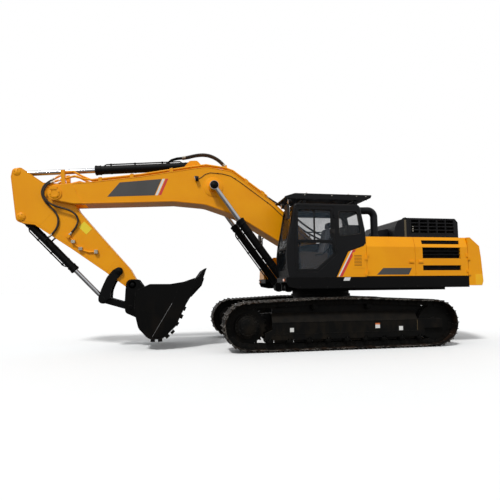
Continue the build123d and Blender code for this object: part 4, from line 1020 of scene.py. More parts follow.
HOSES = (
    Hose("port_hose", 22, (
        (6300.3, 214, 3829.8), (6403, 214, 3768.2), (6505, 214, 3680), (6553, 214, 3573), (6556, 214, 3459),
        (6500, 214, 3330), (6400, 214, 3215), (6295, 214, 3115), (6215, 214, 2995), (6186, 214, 2868),
        (6206, 214, 2735), (6270, 214, 2615), (6365, 214, 2515),
    ), (Body.BOOM, Body.ARM), ((6400, 214, 3720), (6300, 214, 2640))),
    Hose("pipe_hose", 22, (
        (6300.3, 268, 3744.9), (6403.7, 268, 3708.3), (6475, 268, 3620), (6517, 268, 3510), (6490, 268, 3385),
        (6395, 268, 3265), (6235, 268, 3185), (6055, 268, 3145), (5900, 266, 3085), (5795, 256, 2995),
        (5757, 238, 2880), (5795, 222, 2755), (5870, 214, 2650), (5943, 214, 2552.6),
    ), (Body.BOOM, Body.ARM), ((6400, 268, 3660), (5880, 214, 2660))),
    Hose("back_hose", 28, (
        (3429.7, 55, 4494), (3321.2, 55, 4510.1), (3200, 55, 4548), (3060, 55, 4582), (2905, 55, 4597),
        (2750, 55, 4575), (2605, 55, 4510), (2490, 55, 4425), (2395.2, 55, 4320.2),
    ), (Body.ARM_BARREL, Body.BOOM), ((3300, 55, 4500), (2560, 55, 4480))),
    Hose("foot_hose", 24, (
        (1399.7, 214, 3557.5), (1265, 214, 3461.3), (1125, 214, 3385), (975, 214, 3285), (815, 214, 3160),
        (645, 214, 3020), (465, 214, 2880), (275, 214, 2750), (75, 214, 2635), (-135, 214, 2540),
        (-360, 214, 2490), (-599.7, 214, 2490),
    ), (Body.BOOM, Body.HOUSE), ((1260, 214, 3450), (-450, 214, 2490))),
)


def lay_hoses() -> None:
    """Makes every free hose, and its collars on the bodies that hold its ends."""
    collars: dict[Body, Form] = {}
    for hose in HOSES:
        for side, way in SIDES:
            hose.build(side, way)
            for body, form in hose.ferrules(way):
                if body in collars:
                    spare = bpy.data.meshes.new("collar")
                    form.mesh.to_mesh(spare)
                    form.mesh.free()
                    collars[body].mesh.from_mesh(spare)
                    bpy.data.meshes.remove(spare)
                else:
                    collars[body] = form
    for body, form in collars.items():
        form.piece(f"hose_collars_{body.value}", ZINC, body, Slot.CHROME)


# House


@dataclass
class House:
    """Trim of the slewing house: stripes, plates, vents, latches, hood grille, lamps and treads."""

    side_y: float = 1500.0
    top_z: float = 2445.0
    vent_x: Point2 = (-2875.0, -1925.0)
    vents: tuple[Point2, ...] = ((1690.0, 1792.0), (1962.0, 2200.0), (2282.0, 2366.0))
    crease_z: float = 2215.0
    side_slope: float = 0.304
    fin_count: int = 72
    hood_left: float = 980.0
    hood_right: float = -760.0
    grille_x: Point2 = (-3120.0, -1960.0)
    grille_z: Point2 = (2590.0, 2930.0)
    grille_columns: int = 5
    grille_rows: int = 4
    slats: int = 3
    stud_pitch: float = 62.0

    def markings(self) -> None:
        """Makes the stripes, the blank dark plate and the small blank labels."""
        y = self.side_y
        marks = (
            ("stripe_white", WHITE_MARK, [(104, 1556), (74, 1556), (-242, 2129), (-208, 2119)], y),
            ("stripe_red", RED_MARK, [(74, 1556), (8, 1556), (-322, 2154), (-242, 2129)], y),
            ("door_plate", DARK_MARK, [(-799, 1590), (-1566, 1590), (-1644, 1738), (-952, 1738)], y),
            ("skirt_label", WHITE_MARK, [(-10, 1462), (-150, 1462), (-185, 1536), (-45, 1536)], y),
        )
        for name, finish, outline, face in marks:
            form = Form()
            form.side(outline, face - 1, face + 2)
            form.piece(name, finish, Body.FRONT_DOOR if name == "door_plate" else Body.HOUSE, Slot.ORANGE)

    def lean(self, z: float) -> float:
        """Returns how far the side leans in at a height."""
        return max(0.0, (z - self.crease_z) * self.side_slope)

    def side_vents(self) -> None:
        """Makes the rear left door's vents: backs, close upright fins, blades and rims."""
        back = Form()
        for low, high in self.vents:
            back.box((self.vent_x[0] - 20, self.vent_x[1] + 20), (1405, 1411), (low - 15, high + 15))
        back.piece("vent_backs", TRIM, Body.REAR_DOOR, Slot.BLACK)
        for row, (low, high) in enumerate(self.vents):
            fin = Form()
            fin.flat([(-SLEW_X - 2, -14), (-SLEW_X + 2, -14), (-SLEW_X + 2, 14), (-SLEW_X - 2, 14)], 0,
                     high - low)
            run = Scatter()
            run.line((self.vent_x[0] + 6, 1430, low), (self.vent_x[1] - 6, 1430, low), self.fin_count,
                     (0, 0, 1))
            run.piece(f"vent_fins_{row + 1}", fin.shape("fin"), BLACK, Body.REAR_DOOR, Slot.BLACK)
        rims = Form()
        for low, high in self.vents:
            blades = 3 if high - low > 100 else 2
            for blade in range(1, blades):
                z = low + (high - low) * blade / blades
                lean = self.lean(z)
                rims.box((self.vent_x[0] - 4, self.vent_x[1] + 4), (1463 - lean, 1483 - lean),
                         (z - 10, z + 10))
            lean = self.lean(high)
            for z in ((high - 3, high + 5), (low - 5, low + 3)):
                rims.box((self.vent_x[0] - 6, self.vent_x[1] + 6), (1480 - lean, 1501 - lean), z)
        rims.piece("vent_rims", BLACK, Body.REAR_DOOR, Slot.BLACK)

    def latches(self) -> None:
        """Makes the doors' paddle latches."""
        for name, x, way, body in (("front", -1640, 1, Body.FRONT_DOOR), ("rear", -1868, 1, Body.REAR_DOOR),
                                   ("pump", -1868, -1, Body.PUMP_DOOR)):
            y = way * self.side_y
            form = Form()
            form.side(plate((x - 62, x + 62), (1842, 1913), 8),
                      y, y + way * 9)
            form.side(plate((x - 44, x + 40), (1858, 1898), 6),
                      y + way * 13, y + way * 21)
            form.soften(2)
            form.drum((x + 50, y + way * 8, 1878), (x + 50, y + way * 15, 1878), 7, 12)
            form.piece(f"latch_{name}", ORANGE, body, Slot.ORANGE)

    def louvre(self) -> None:
        """Makes the louvre with brown lines painted as its slots' shadows, and the skin of the right fixed
        panel.
        """
        form = Form()
        form.side(plate((-240, -515), (1735, 2080), 12), self.side_y - 2,
                  self.side_y + 4)
        form.soften(1.5)
        form.piece("side_louvre", ORANGE, Body.HOUSE, Slot.ORANGE)
        form = Form()
        form.cross([(-1502, 1548), (-1502, 2215), (-1432, 2443), (-1424, 2443), (-1494, 2213), (-1494, 1548)],
                   -1734, -906)
        form.soften(1.5)
        form.piece("right_fixed_panel", ORANGE, Body.HOUSE, Slot.ORANGE)
        # Brown lines painted as the shadows in the louvre's slots.
        shadow_lines = Form()
        for z in range(1786, 1786 + 8 * 32, 32):
            shadow_lines.side([(-276, z), (-448, z), (-448, z + 11), (-276, z + 11)], self.side_y + 3,
                       self.side_y + 6)
        shadow_lines.piece("louvre_lines", LOUVRE_PAINTED_SHADOW, Body.HOUSE, Slot.ORANGE)

    def hood(self) -> None:
        """Makes the hood's grille, its corner strip, its bolts, its ribs and the exhaust outlet."""
        (x0, x1), (z0, z1) = self.grille_x, self.grille_z
        step_x, step_z = (x1 - x0) / self.grille_columns, (z1 - z0) / self.grille_rows
        half, y = (step_x - 30) / 2, self.hood_left - 28
        slat = Form()
        slat.cross([(-10, 2), (10, -5), (10, -2), (-10, 5)], -SLEW_X - half, -SLEW_X + half)
        run = Scatter()
        for column in range(self.grille_columns):
            for row in range(self.grille_rows):
                for part in range(self.slats):
                    z = z0 + (row + (part + 0.75) / (self.slats + 0.6)) * step_z
                    run.put((x0 + (column + 0.5) * step_x, y, z), (0, 0, 1))
        run.piece("grille_slats", slat.shape("slat"), BLACK, Body.HOOD, Slot.BLACK)
        frame_form = Form()
        y = self.hood_left
        for column in range(self.grille_columns + 1):
            x = x0 + column * step_x
            frame_form.box((x - 9, x + 9), (y - 1, y + 7), (z0 - 10, z1 + 10))
        for row in range(self.grille_rows + 1):
            z = z0 + row * step_z
            frame_form.box((x0 - 10, x1 + 10), (y - 1, y + 5), (z - 6, z + 6))
        frame_form.piece("grille_frame", HOOD_GREY, Body.HOOD, Slot.GREY)
        strip = Form()
        strip.box((-1850, -1800), (y - 1, y + 4), (2470, 2915))
        strip.piece("hood_corner_strip", KHAKI_STRIP, Body.HOOD, Slot.GREY)
        nuts = Scatter()
        for z in (2650, 2700, 2750):
            nuts.put((-2020, y + 5, z), (0, 1, 0))
        nuts.line((-3170, y, 2480), (-1600, y, 2480), 9, (0, 1, 0))
        nuts.line((-3170, self.hood_right, 2480), (-1600, self.hood_right, 2480), 9, (0, -1, 0))
        nuts.piece("hood_bolts", bolt_mesh(11, 9), ZINC, Body.HOOD, Slot.GREY)
        ribs = Form()
        for rib_y in (-560, -180, 200, 580):
            ribs.side(rounded([(-3090, 2962), (-1900, 2962), (-1916, 2974, 8), (-3074, 2974, 8)]), rib_y - 26,
                      rib_y + 26)
        ribs.piece("hood_ribs", HOOD_GREY, Body.HOOD, Slot.GREY)
        pipe = Form()
        pipe.tube([(-2560, -420, 2955), (-2560, -420, 3080), (-2575, -420, 3120), (-2610, -420, 3148),
                   (-2660, -420, 3160)], 62, 24)
        pipe.lathe((-2560, -420, 2960), (0, 0, 1), [(0, 96), (14, 96), (22, 78), (30, 66)], 28)
        pipe.piece("exhaust_outlet", CAST, Body.HOOD, Slot.ENGINE)

    def counterweight(self) -> None:
        """Makes the counterweight's side plates, its tail lamps and its lifting sockets' rings."""
        for side, way in SIDES:
            form = Form()
            for z0, r0, z1, r1 in ((1342, 3719, 1430, 3751), (1430, 3751, 1592, 3743)):
                form.prism(self.band(way, z0, r0), self.band(way, z1, r1))
            form.piece(f"weight_plate_{side}", BRIGHT_ORANGE, Body.HOUSE, Slot.ORANGE)
            lamp = Form()
            lamp.flat(rounded([(-3716, way * 700, 12), (-3716, way * 920, 12), (-3640, way * 925),
                               (-3650, way * 700)]),
                      1640, 1716)
            lamp.soften(3)
            lamp.piece(f"tail_lamp_case_{side}", TRIM, Body.HOUSE, Slot.BLACK)
            glass = Form()
            glass.flat([(-3722, way * 712), (-3722, way * 908), (-3714, way * 908), (-3714, way * 712)], 1650,
                       1706)
            glass.piece(f"tail_lamp_{side}", RED_LENS, Body.HOUSE, Slot.BLACK)
            ring = Form()
            ring.lathe((-3190, way * 1080, self.top_z), (0, 0, 1),
                       [(-1, 62), (8, 62), (12, 58), (12, 40), (-1, 38)], 32)
            ring.piece(f"socket_ring_{side}", BLACK, Body.HOUSE, Slot.BLACK)

    def band(self, way: int, z: float, radius: float) -> list[Vector]:
        """Returns a level outline that follows the counterweight's side and the start of its round tail."""
        face = self.side_y - 1
        start, end = math.asin((face - 40) / radius), math.asin(820 / radius)
        corner = [(3244.0, face), (radius * math.cos(start) - 28, face)]
        tail = [(radius * math.cos(angle), radius * math.sin(angle))
                for angle in (start + (end - start) * step / 8 for step in range(9))]
        outer = corner + tail
        inner = [(x - 30, y - 30) for x, y in reversed(outer)]
        return [at(-x, way * y, z) for x, y in outer + inner]

    def treads(self) -> None:
        """Makes the studded walkways on the hood sheet, the tool box's step and the tanks."""
        pads = Form()
        studs = Scatter()
        for x0, x1, y0, y1, z in ((-1640, -1010, 900, 1290, self.top_z),
                                  (-1640, -1010, -1290, -760, self.top_z), (1062, 1225, -1440, -930, 1830),
                                  (-820, -260, -1380, -1180, self.top_z), (0, 460, -1180, -760, 2385)):
            pads.flat(plate((x0, x1), (y0, y1), 30), z - 1, z + 3)
            across, along = int((y1 - y0) / self.stud_pitch), int((x1 - x0) / self.stud_pitch)
            for row in range(across):
                y = y0 + (row + 0.5) * (y1 - y0) / across
                for spot in range(along):
                    x = x0 + (spot + 0.25 + 0.5 * (row % 2)) * (x1 - x0) / along
                    studs.put((x, y, z + 3), (0, 0, 1))
        pads.piece("walkways", BLACK, Body.HOUSE, Slot.BLACK)
        stud = Form()
        stud.lathe((-SLEW_X, 0, 0), (0, 0, 1), [(0, 13), (5, 9), (5, 5), (1, 4)], 8)
        studs.piece("walkway_studs", stud.shape("stud"), BLACK, Body.HOUSE, Slot.BLACK)

    def deck(self) -> None:
        """Makes the deck's bolts and markers, the step lamp and the tanks' caps."""
        ring = Scatter()
        ring.circle((0, 0, 1155), (0, 0, 1), 716, 48)
        ring.piece("ring_bolts", bolt_mesh(12, 14), CAST, Body.TRACKS, Slot.TRACK)
        rows = Scatter()
        for way in WAYS:
            rows.line((-2980, way * self.side_y, 1330), (960, way * self.side_y, 1330), 14, (0, way, 0))
        rows.piece("skirt_bolts", bolt_mesh(10, 8), BLACK, Body.HOUSE, Slot.BLACK)
        marks = Form()
        for way in WAYS:
            marks.box((1268, 1292), (way * 1330 - 55, way * 1330 + 55), (1462, 1512))
        marks.soften(5)
        marks.piece("corner_markers", ORANGE_LENS, Body.HOUSE, Slot.ORANGE)
        lamp = Form()
        lamp.box((1150, 1170), (-1180, -1160), (1831, 1880))
        lamp.flat(rounded([(1105, -1235, 15), (1212, -1235, 10), (1212, -1105, 10), (1105, -1105, 15)]), 1880,
                  1985)
        lamp.soften(4)
        lamp.piece("step_lamp", TRIM, Body.HOUSE, Slot.BLACK)
        lens = Form()
        lens.box((1208, 1216), (-1226, -1114), (1890, 1975))
        lens.soften(3)
        lens.piece("step_lamp_lens", LAMP_LENS, Body.HOUSE, Slot.MIRROR)
        caps = Form()
        caps.lathe((520, -1250, 2440), (0, 0, 1), [(0, 78), (16, 78), (22, 70), (26, 40), (26, 0)], 32)
        caps.lathe((-560, -1050, 2478), (0, 0, 1), [(0, 116), (12, 116), (20, 106), (24, 60), (24, 0)], 36)
        caps.box((430, 446), (-1290, -1210), (2386, 2440))
        caps.piece("tank_caps", BLACK, Body.HOUSE, Slot.BLACK)
        fittings = Scatter()
        for y in (-268, -214, -150, -90, 90, 150, 214, 268):
            fittings.put((-650, y, 2530), (0, 0, 1))
        fittings.piece("manifold_bolts", bolt_mesh(13, 12), ZINC, Body.HOUSE, Slot.GREY)

    def build(self) -> None:
        """Makes all of the house's trim."""
        self.markings()
        self.side_vents()
        self.latches()
        self.louvre()
        self.hood()
        self.counterweight()
        self.treads()
        self.deck()


# Cab


@dataclass
class Cab:
    """Trim of the cab: seals, handle, wiper, roof guard fittings, seat, consoles and mirrors."""

    side_y: float = 1500.0
    inner_y: float = 590.0
    mid_y: float = 1045.0
    seat_x: float = 240.0
    door: Corners = (
        (1062, 1650, 60), (1058, 3090, 70), (165, 3090, 70), (165, 2420), (118, 2030, 60), (560, 1650, 60))
    rear_glass: Corners = ((60, 2430, 60), (60, 3000, 60), (-375, 3000, 80), (-455, 2500, 60))
    right_glass: Corners = (
        (1010, 2250, 60), (960, 2990, 60), (-375, 2990, 80), (-455, 2450, 60))

    def seals(self) -> None:
        """Makes the rubber seals round the panes and the door."""
        panes = shrunk(rounded(list(self.door)), 70)
        edge = self.side_y - 14
        form = Form()
        for level, above in ((2353, True), (2293, False)):
            form.loop([(x, edge, z) for x, z in cut(panes, level, above)], 7)
        form.piece("door_seals", SEAL, Body.CAB_DOOR, Slot.BLACK)
        form = Form()
        form.loop([(x, self.side_y - 4, z) for x, z in shrunk(rounded(list(self.rear_glass)), -2)], 11)
        form.loop([(x, self.inner_y + 4, z) for x, z in shrunk(rounded(list(self.right_glass)), -2)], 11)
        form.loop([(x, self.side_y - 10, z) for x, z in shrunk(rounded(list(self.door)), -1)], 6)
        form.piece("cab_seals", SEAL, Body.HOUSE, Slot.BLACK)

    def door_fittings(self) -> None:
        """Makes the door's handle, its sliding panes' divider and its grab bar."""
        form = Form()
        form.side(plate((150, 262), (2500, 2590), 10), self.side_y - 30,
                  self.side_y + 6)
        form.soften(2)
        form.piece("door_handle_seat", TRIM, Body.CAB_DOOR, Slot.BLACK)
        form = Form()
        form.side(rounded([(176, 2534, 8), (250, 2534, 10), (250, 2562, 10), (176, 2566, 8)]),
                  self.side_y + 14, self.side_y + 26)
        form.drum((240, self.side_y + 4, 2548), (240, self.side_y + 16, 2548), 9, 14)
        form.soften(1.5)
        form.piece("door_handle", TRIM, Body.CAB_DOOR, Slot.BLACK)
        form = Form()
        form.box((604, 634), (self.side_y - 34, self.side_y - 20), (2354, 3014))
        form.box((600, 606), (self.side_y - 30, self.side_y - 14), (2354, 3014))
        form.soften(2)
        form.piece("pane_divider", SEAL, Body.CAB_DOOR, Slot.BLACK)
        form = Form()
        form.tube([(205, self.side_y - 60, 2260), (205, self.side_y - 105, 2240),
                   (420, self.side_y - 105, 2050), (560, self.side_y - 105, 2030),
                   (580, self.side_y - 60, 2030)], 13)
        form.piece("door_grab_bar", BLACK, Body.CAB_DOOR, Slot.BLACK)

    def windscreen(self) -> None:
        """Makes the wiper with its arm and motor, and the bar across the windscreen."""
        form = Form()
        form.tube([(1243, 1260, 2090), (1256, 1200, 2200), (1252, 1120, 2420), (1232, 1020, 2560)], 8)
        form.tube([(1252, 1030, 2240), (1240, 1024, 2500), (1196, 1018, 2760)], 10, 6)
        form.drum((1215, 1262, 2085), (1262, 1262, 2085), 24, 18)
        form.box((1236, 1256), (675, 1415), (2150, 2196))
        form.piece("wiper", TRIM, Body.HOUSE, Slot.BLACK)

    def guard(self) -> None:
        """Makes the roof guard's stubs, bolts and struts, and the roof's work lamps."""
        form = Form()
        for x in (742, -238):
            for y in (720, 1370):
                form.lathe((x, y, 3362), (0, 0, 1), [(0, 26), (12, 26), (16, 15), (50, 15), (54, 10)], 14)
        form.piece("guard_stubs", ZINC, Body.HOUSE, Slot.GREY)
        form = Form()
        for x in (880, 520, 160, -200, -520):
            form.tube([(x, 1470, 3352), (x - 110, 1462, 3262)], 9, 8)
        form.piece("guard_struts", BLACK, Body.HOUSE, Slot.BLACK)
        bolts = Scatter()
        for x in (-600, -380, 200, 820):
            bolts.put((x, 1488, 3340), (0, 1, 0))
            bolts.put((x, 592, 3340), (0, -1, 0))
        bolts.piece("guard_bolts", bolt_mesh(9, 8), ZINC, Body.HOUSE, Slot.GREY)
        case = Form()
        glass = Form()
        for y in (730, 1330):
            case.lathe((1085, y, 3222), (1, 0, -0.12), [(0, 28), (12, 50), (62, 62), (76, 62)], 24)
            case.box((1090, 1112), (y - 8, y + 8), (3225, 3300))
            glass.lathe((1085, y, 3222), (1, 0, -0.12), [(70, 55), (79, 53), (84, 40), (86, 0)], 24)
        case.piece("roof_lamps", TRIM, Body.HOUSE, Slot.BLACK)
        glass.piece("roof_lamp_lenses", LAMP_LENS, Body.HOUSE, Slot.MIRROR)

    def seat(self) -> None:
        """Makes the padded seat, its shell and its base."""
        x, y = self.seat_x, self.mid_y
        pads = (
            ("seat_cushion", 0.6, [(x + 96, 1904, 30), (x + 600, 1904, 40), (x + 618, 1998, 50),
                                   (x + 120, 1998, 40)],
             225, 26),
            ("seat_back", 0.6, [(x + 118, 2004, 40), (x - 16, 2652, 60), (x - 92, 2640, 50),
                                (x + 6, 2004, 30)],
             222, 24),
            ("seat_headrest", 0.7, [(x - 48, 2662, 30), (x - 66, 2796, 35), (x - 138, 2790, 35),
                                    (x - 128, 2662, 30)],
             122, 20),
        )
        for name, fill, corners, half, pull in pads:
            piece = self.pad(name, rounded(corners, 4), y, half, pull)
            if name == "seat_cushion":
                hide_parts("seat")
        form = Form()
        form.box((x + 60, x + 520), (y - 190, y + 190), (1640, 1760))
        form.box((x + 20, x + 560), (y - 150, y + 150), (1605, 1645))
        for step in range(5):
            form.box((x + 48 + step * 3, x + 532 - step * 3), (y - 202 + step * 3, y + 202 - step * 3),
                     (1762 + step * 26, 1778 + step * 26))
        form.soften(5)
        form.piece("seat_base", TRIM, Body.HOUSE, Slot.BLACK)
        shell = Form()
        shell.side(rounded([(x + 2, 1900), (x - 108, 2640, 40), (x - 96, 2650, 10), (x + 20, 1990),
                            (x + 596, 1902), (x + 596, 1886)]), y - 205, y + 205)
        shell.soften(6)
        shell.piece("seat_shell", TRIM, Body.HOUSE, Slot.BLACK)

    def consoles(self) -> None:
        """Makes the consoles beside the seat, the levers and the travel pedals."""
        x, y = self.seat_x, self.mid_y
        consoles, levers = Form(), Form()
        for way in WAYS:
            side = y + way * 295
            consoles.side(rounded([(x + 22, 1640), (x + 640, 1640, 60), (x + 698, 2060, 40),
                                   (x + 658, 2116, 40), (x + 62, 2078, 40)]), side - 52, side + 52)
            levers.lathe((x + 652, side, 2092), (0.12, 0, 1),
                         [(0, 46), (8, 46), (22, 32), (30, 38), (40, 24), (48, 30), (60, 14), (150, 12),
                          (160, 22), (232, 26), (240, 14), (242, 0)], 18)
            foot = y + way * 60
            levers.tube([(x + 780, foot, 1612), (x + 770, foot, 1800), (x + 730, foot, 2130)], 12)
            levers.lathe((x + 731, foot, 2110), (-0.2, 0, 1), [(0, 14), (8, 22), (44, 22), (50, 14), (50, 0)],
                         14)
            levers.box((x + 730, x + 830), (foot - 45, foot + 45), (1606, 1622))
        consoles.soften(7)
        consoles.piece("consoles", PALE_TRIM, Body.HOUSE, Slot.BLACK)
        levers.piece("levers", TRIM, Body.HOUSE, Slot.BLACK)

    def pad(self, name: str, outline: list[Point2], y: float, half: float, pull: float) -> bpy.types.Object:
        """Makes one crowned pad across the cab.

        Args:
            name: The pad's name.
            outline: Its closed outline of x and z.
            y: Its middle.
            half: Its half width.
            pull: How far its ends' edges pull in.

        Returns:
            The new object.
        """
        form = Form()
        rings = []
        for share in (-1.0, -0.985, -0.94, -0.84, -0.62, -0.58, -0.54, -0.28, 0.0, 0.28, 0.54, 0.58, 0.62,
                      0.84, 0.94, 0.985, 1.0):
            edge = abs(share)
            inset = pull * max(0.0, (edge - 0.84) / 0.16) ** 2.2 + (5.0 if 0.56 < edge < 0.6 else 0.0)
            inset += 2.0 * edge
            ring = shrunk(outline, inset)
            rings.append(form.ring_of([at(px, y + share * half, pz) for px, pz in ring]))
        form.skin(rings)
        return form.piece(name, SEAT_CLOTH, Body.HOUSE, Slot.SEAT)

    def interior(self) -> None:
        """Makes the floor mat, the monitor on its post, the rear shelf and the headlining."""
        form = Form()
        form.flat(rounded([(240, 660, 20), (1140, 660, 60), (1140, 1430, 60), (560, 1430, 40),
                           (240, 1430, 20)]),
                  1602, 1612)
        form.piece("floor_mat", RUBBER, Body.HOUSE, Slot.BLACK)
        form = Form()
        form.cross(rounded([(650, 2120, 12), (650, 2330, 12), (860, 2330, 12), (860, 2120, 12)]), 1030, 1062)
        form.tube([(1050, 700, 2130), (1090, 690, 1900), (1100, 690, 1640)], 22)
        form.soften(4)
        form.piece("monitor", TRIM, Body.HOUSE, Slot.BLACK)
        form = Form()
        form.side(rounded([(-440, 1620), (60, 1620), (60, 2330, 40), (-60, 2420, 60), (-130, 2700, 60),
                           (-460, 2700, 30)]),
                  660, 1430)
        form.soften(8)
        form.piece("rear_shelf", TRIM, Body.HOUSE, Slot.BLACK)
        form = Form()
        form.side([(-420, 3096), (1010, 3096), (1010, 3104), (-420, 3104)], 660, 1430)
        form.piece("headlining", PALE_TRIM, Body.HOUSE, Slot.BLACK)

    def mirror_faces(self) -> None:
        """Makes the mirrors' silvered faces."""
        form = Form()
        for x, y, z in ((1215, 1480, 2950), (1240, -1440, 2650)):
            form.cross(plate((y - 84, y + 84), (z - 145, z + 145), 16), x - 27, x - 24)
        form.piece("mirror_faces", MIRROR, Body.HOUSE, Slot.MIRROR)

    def build(self) -> None:
        """Makes all of the cab's trim."""
        self.seals()
        self.door_fittings()
        self.windscreen()
        self.guard()
        self.seat()
        self.consoles()
        self.interior()
        self.mirror_faces()


# Boom, arm, bucket and cylinders


@dataclass
class Boom:
    """Trim of the boom: weld beads, doublers, caps, blank plate with its slash, clamps' bolts and lamps."""

    half: float = 300.0
    pivot: Point2 = (6260.0, 3477.0)
    eye: Point2 = (2709.0, 3730.0)
    foot: Point2 = (100.0, 2000.0)
    outline: Corners = (
        (-95, 2030, 60), (60, 1822, 60), (1176, 2471), (2148, 3050), (2900, 3300, 700), (3637, 3354),
        (5856, 3243, 60), (6330, 3330, 120), (6425, 3500, 120), (6300, 3680, 120), (5510, 3765), (4411, 3930),
        (3300, 4150), (2880, 4225, 300), (2286, 4140, 200), (1212, 3376), (60, 2290, 120))
    cable: tuple[Point2, ...] = (
        (3062, 3915), (2990, 3960), (2900, 4035), (2780, 4075), (2500, 4060), (2290, 4010), (2080, 3880),
        (1300, 3320), (400, 2480))

    def plates(self) -> None:
        """Makes the weld beads, the nose and eye doublers and the caps of the pins."""
        beads, plates, caps = Form(), Form(), Form()
        line = shrunk(rounded(list(self.outline), 8), 16)
        for way in WAYS:
            y = way * self.half
            beads.loop([(x, y, z) for x, z in line], 7, 6)
            nose = [(5665, 3264), (5868, 3260), (6316, 3344, 90), (6404, 3500, 90), (6288, 3664, 90),
                    (5908, 3708, 30), (5830, 3600, 120), (5795, 3470, 120), (5695, 3340, 60)]
            plates.side(rounded(nose, 6), y - way * 2, y + way * 11)
            plates.lathe(self._spot(self.eye, y), (0, way, 0), [(-2, 232), (9, 232), (11, 226), (11, 0)], 48)
            plates.lathe(self._spot(self.foot, y), (0, way, 0), [(-2, 150), (3, 150), (4, 146), (4, 0)], 48)
            caps.lathe(self._spot(self.pivot, y + way * 30), (0, way, 0),
                       [(-2, 118), (10, 118), (14, 112), (14, 64), (10, 60), (10, 0)], 40)
        plates.soften(3)
        beads.piece("boom_welds", ORANGE, Body.BOOM, Slot.ORANGE)
        plates.piece("boom_doublers", ORANGE, Body.BOOM, Slot.ORANGE)
        eyes = Form()
        for way in WAYS:
            eyes.lathe(self._spot(self.eye, way * 546), (0, way, 0),
                       [(0, 92), (9, 92), (13, 86), (13, 30), (16, 26), (16, 0)], 36)
        eyes.piece("boom_eye_caps", BLACK, Body.BOOM, Slot.BLACK)
        caps.piece("boom_pin_caps", ORANGE, Body.BOOM, Slot.ORANGE)
        bolts = Scatter()
        for way in WAYS:
            bolts.circle((self.pivot[0], way * (self.half + 43), self.pivot[1]), (0, way, 0), 92, 6)
        bolts.piece("boom_cap_bolts", bolt_mesh(12, 11), ORANGE, Body.BOOM, Slot.ORANGE)

    @staticmethod
    def _spot(place: Point2, y: float) -> Point3:
        """Puts a pin's centre at a side offset."""
        return (place[0], y, place[1])

    def markings(self) -> None:
        """Makes the blank dark plate with the white and red slash on both sides."""
        for side, way in SIDES:
            y0, y1 = way * (self.half - 1), way * (self.half + 2)
            for name, finish, outline in (
                    ("boom_plate", DARK_MARK, [(5135, 3430), (4080, 3492), (3920, 3884), (4864, 3771)]),
                    ("boom_slash_white", WHITE_MARK, [(4062, 3493), (4006, 3497), (3846, 3890),
                                                      (3902, 3886)]),
                    ("boom_slash_red", RED_MARK, [(3988, 3498), (3928, 3502), (3768, 3896), (3828, 3892)])):
                form = Form()
                form.side(outline, y0, y1)
                form.piece(f"{name}_{side}", finish, Body.BOOM, Slot.ORANGE)

    def fittings(self) -> None:
        """Makes the pipe clamps' bolts and the unions at the nose."""
        bolts = Scatter()
        for x, z in ((5300, 3877), (4600, 3984), (3700, 4153), (1900, 3947), (1500, 3663)):
            for way in WAYS:
                for y in (196, 241, 286):
                    bolts.put((x, way * y, z), (0.1, 0, 1))
        bolts.piece("clamp_bolts", bolt_mesh(11, 10), ZINC, Body.BOOM, Slot.CHROME)
        nuts = Form()
        for way in WAYS:
            for y, fall, lift, spots in ((214, -0.6, 18, ((6300, 3830), (6200, 3890))),
                                         (268, -0.35, 10, ((6300, 3745), (6190, 3784)))):
                for x, z in spots:
                    nuts.lathe((x - 30, way * (y + 2), z + lift), (1, 0, fall),
                               [(0, 20), (3, 25), (30, 25), (33, 20)], 6)
            nuts.box((2340, 2440), (way * 30, way * 80), (4180, 4196))
        nuts.piece("nose_unions", ZINC, Body.BOOM, Slot.CHROME)

    def lamps(self) -> None:
        """Makes the lamps with their cable and its clips, and the valves at the nose."""
        case, glass = Form(), Form()
        for way in WAYS:
            y = way * (self.half + 62)
            case.lathe((3070, y, 3925), (1, 0, -0.3), [(0, 26), (14, 50), (60, 64), (80, 64)], 24)
            case.box((3075, 3100), (way * (self.half - 2), way * (self.half + 60)), (3905, 3935))
            case.box((3060, 3116), (way * (self.half - 2), way * (self.half + 8)), (3860, 3980))
            glass.lathe((3070, y, 3925), (1, 0, -0.3), [(74, 57), (83, 55), (88, 42), (90, 0)], 24)
            case.tube([(x, way * (self.half + 6), z) for x, z in self.cable], 7, 8)
        case.piece("boom_lamps", TRIM, Body.BOOM, Slot.BLACK)
        glass.piece("boom_lamp_lenses", LAMP_LENS, Body.BOOM, Slot.MIRROR)
        clips = Scatter()
        for x, z in ((2600, 4067), (2180, 3951), (1800, 3679), (1400, 3391), (900, 2947)):
            for way in WAYS:
                clips.put((x, way * (self.half + 8), z), (0, way, 0))
        clips.piece("cable_clips", bolt_mesh(10, 9), BLACK, Body.BOOM, Slot.BLACK)
        valve = Form()
        for way in WAYS:
            valve.side(plate((6362, 6205), (3560, 3625), 8),
                       way * 312, way * 352)
        valve.soften(4)
        valve.piece("nose_valves", ORANGE, Body.BOOM, Slot.ORANGE)

    def build(self) -> None:
        """Makes all of the boom's trim."""
        self.plates()
        self.markings()
        self.fittings()
        self.lamps()


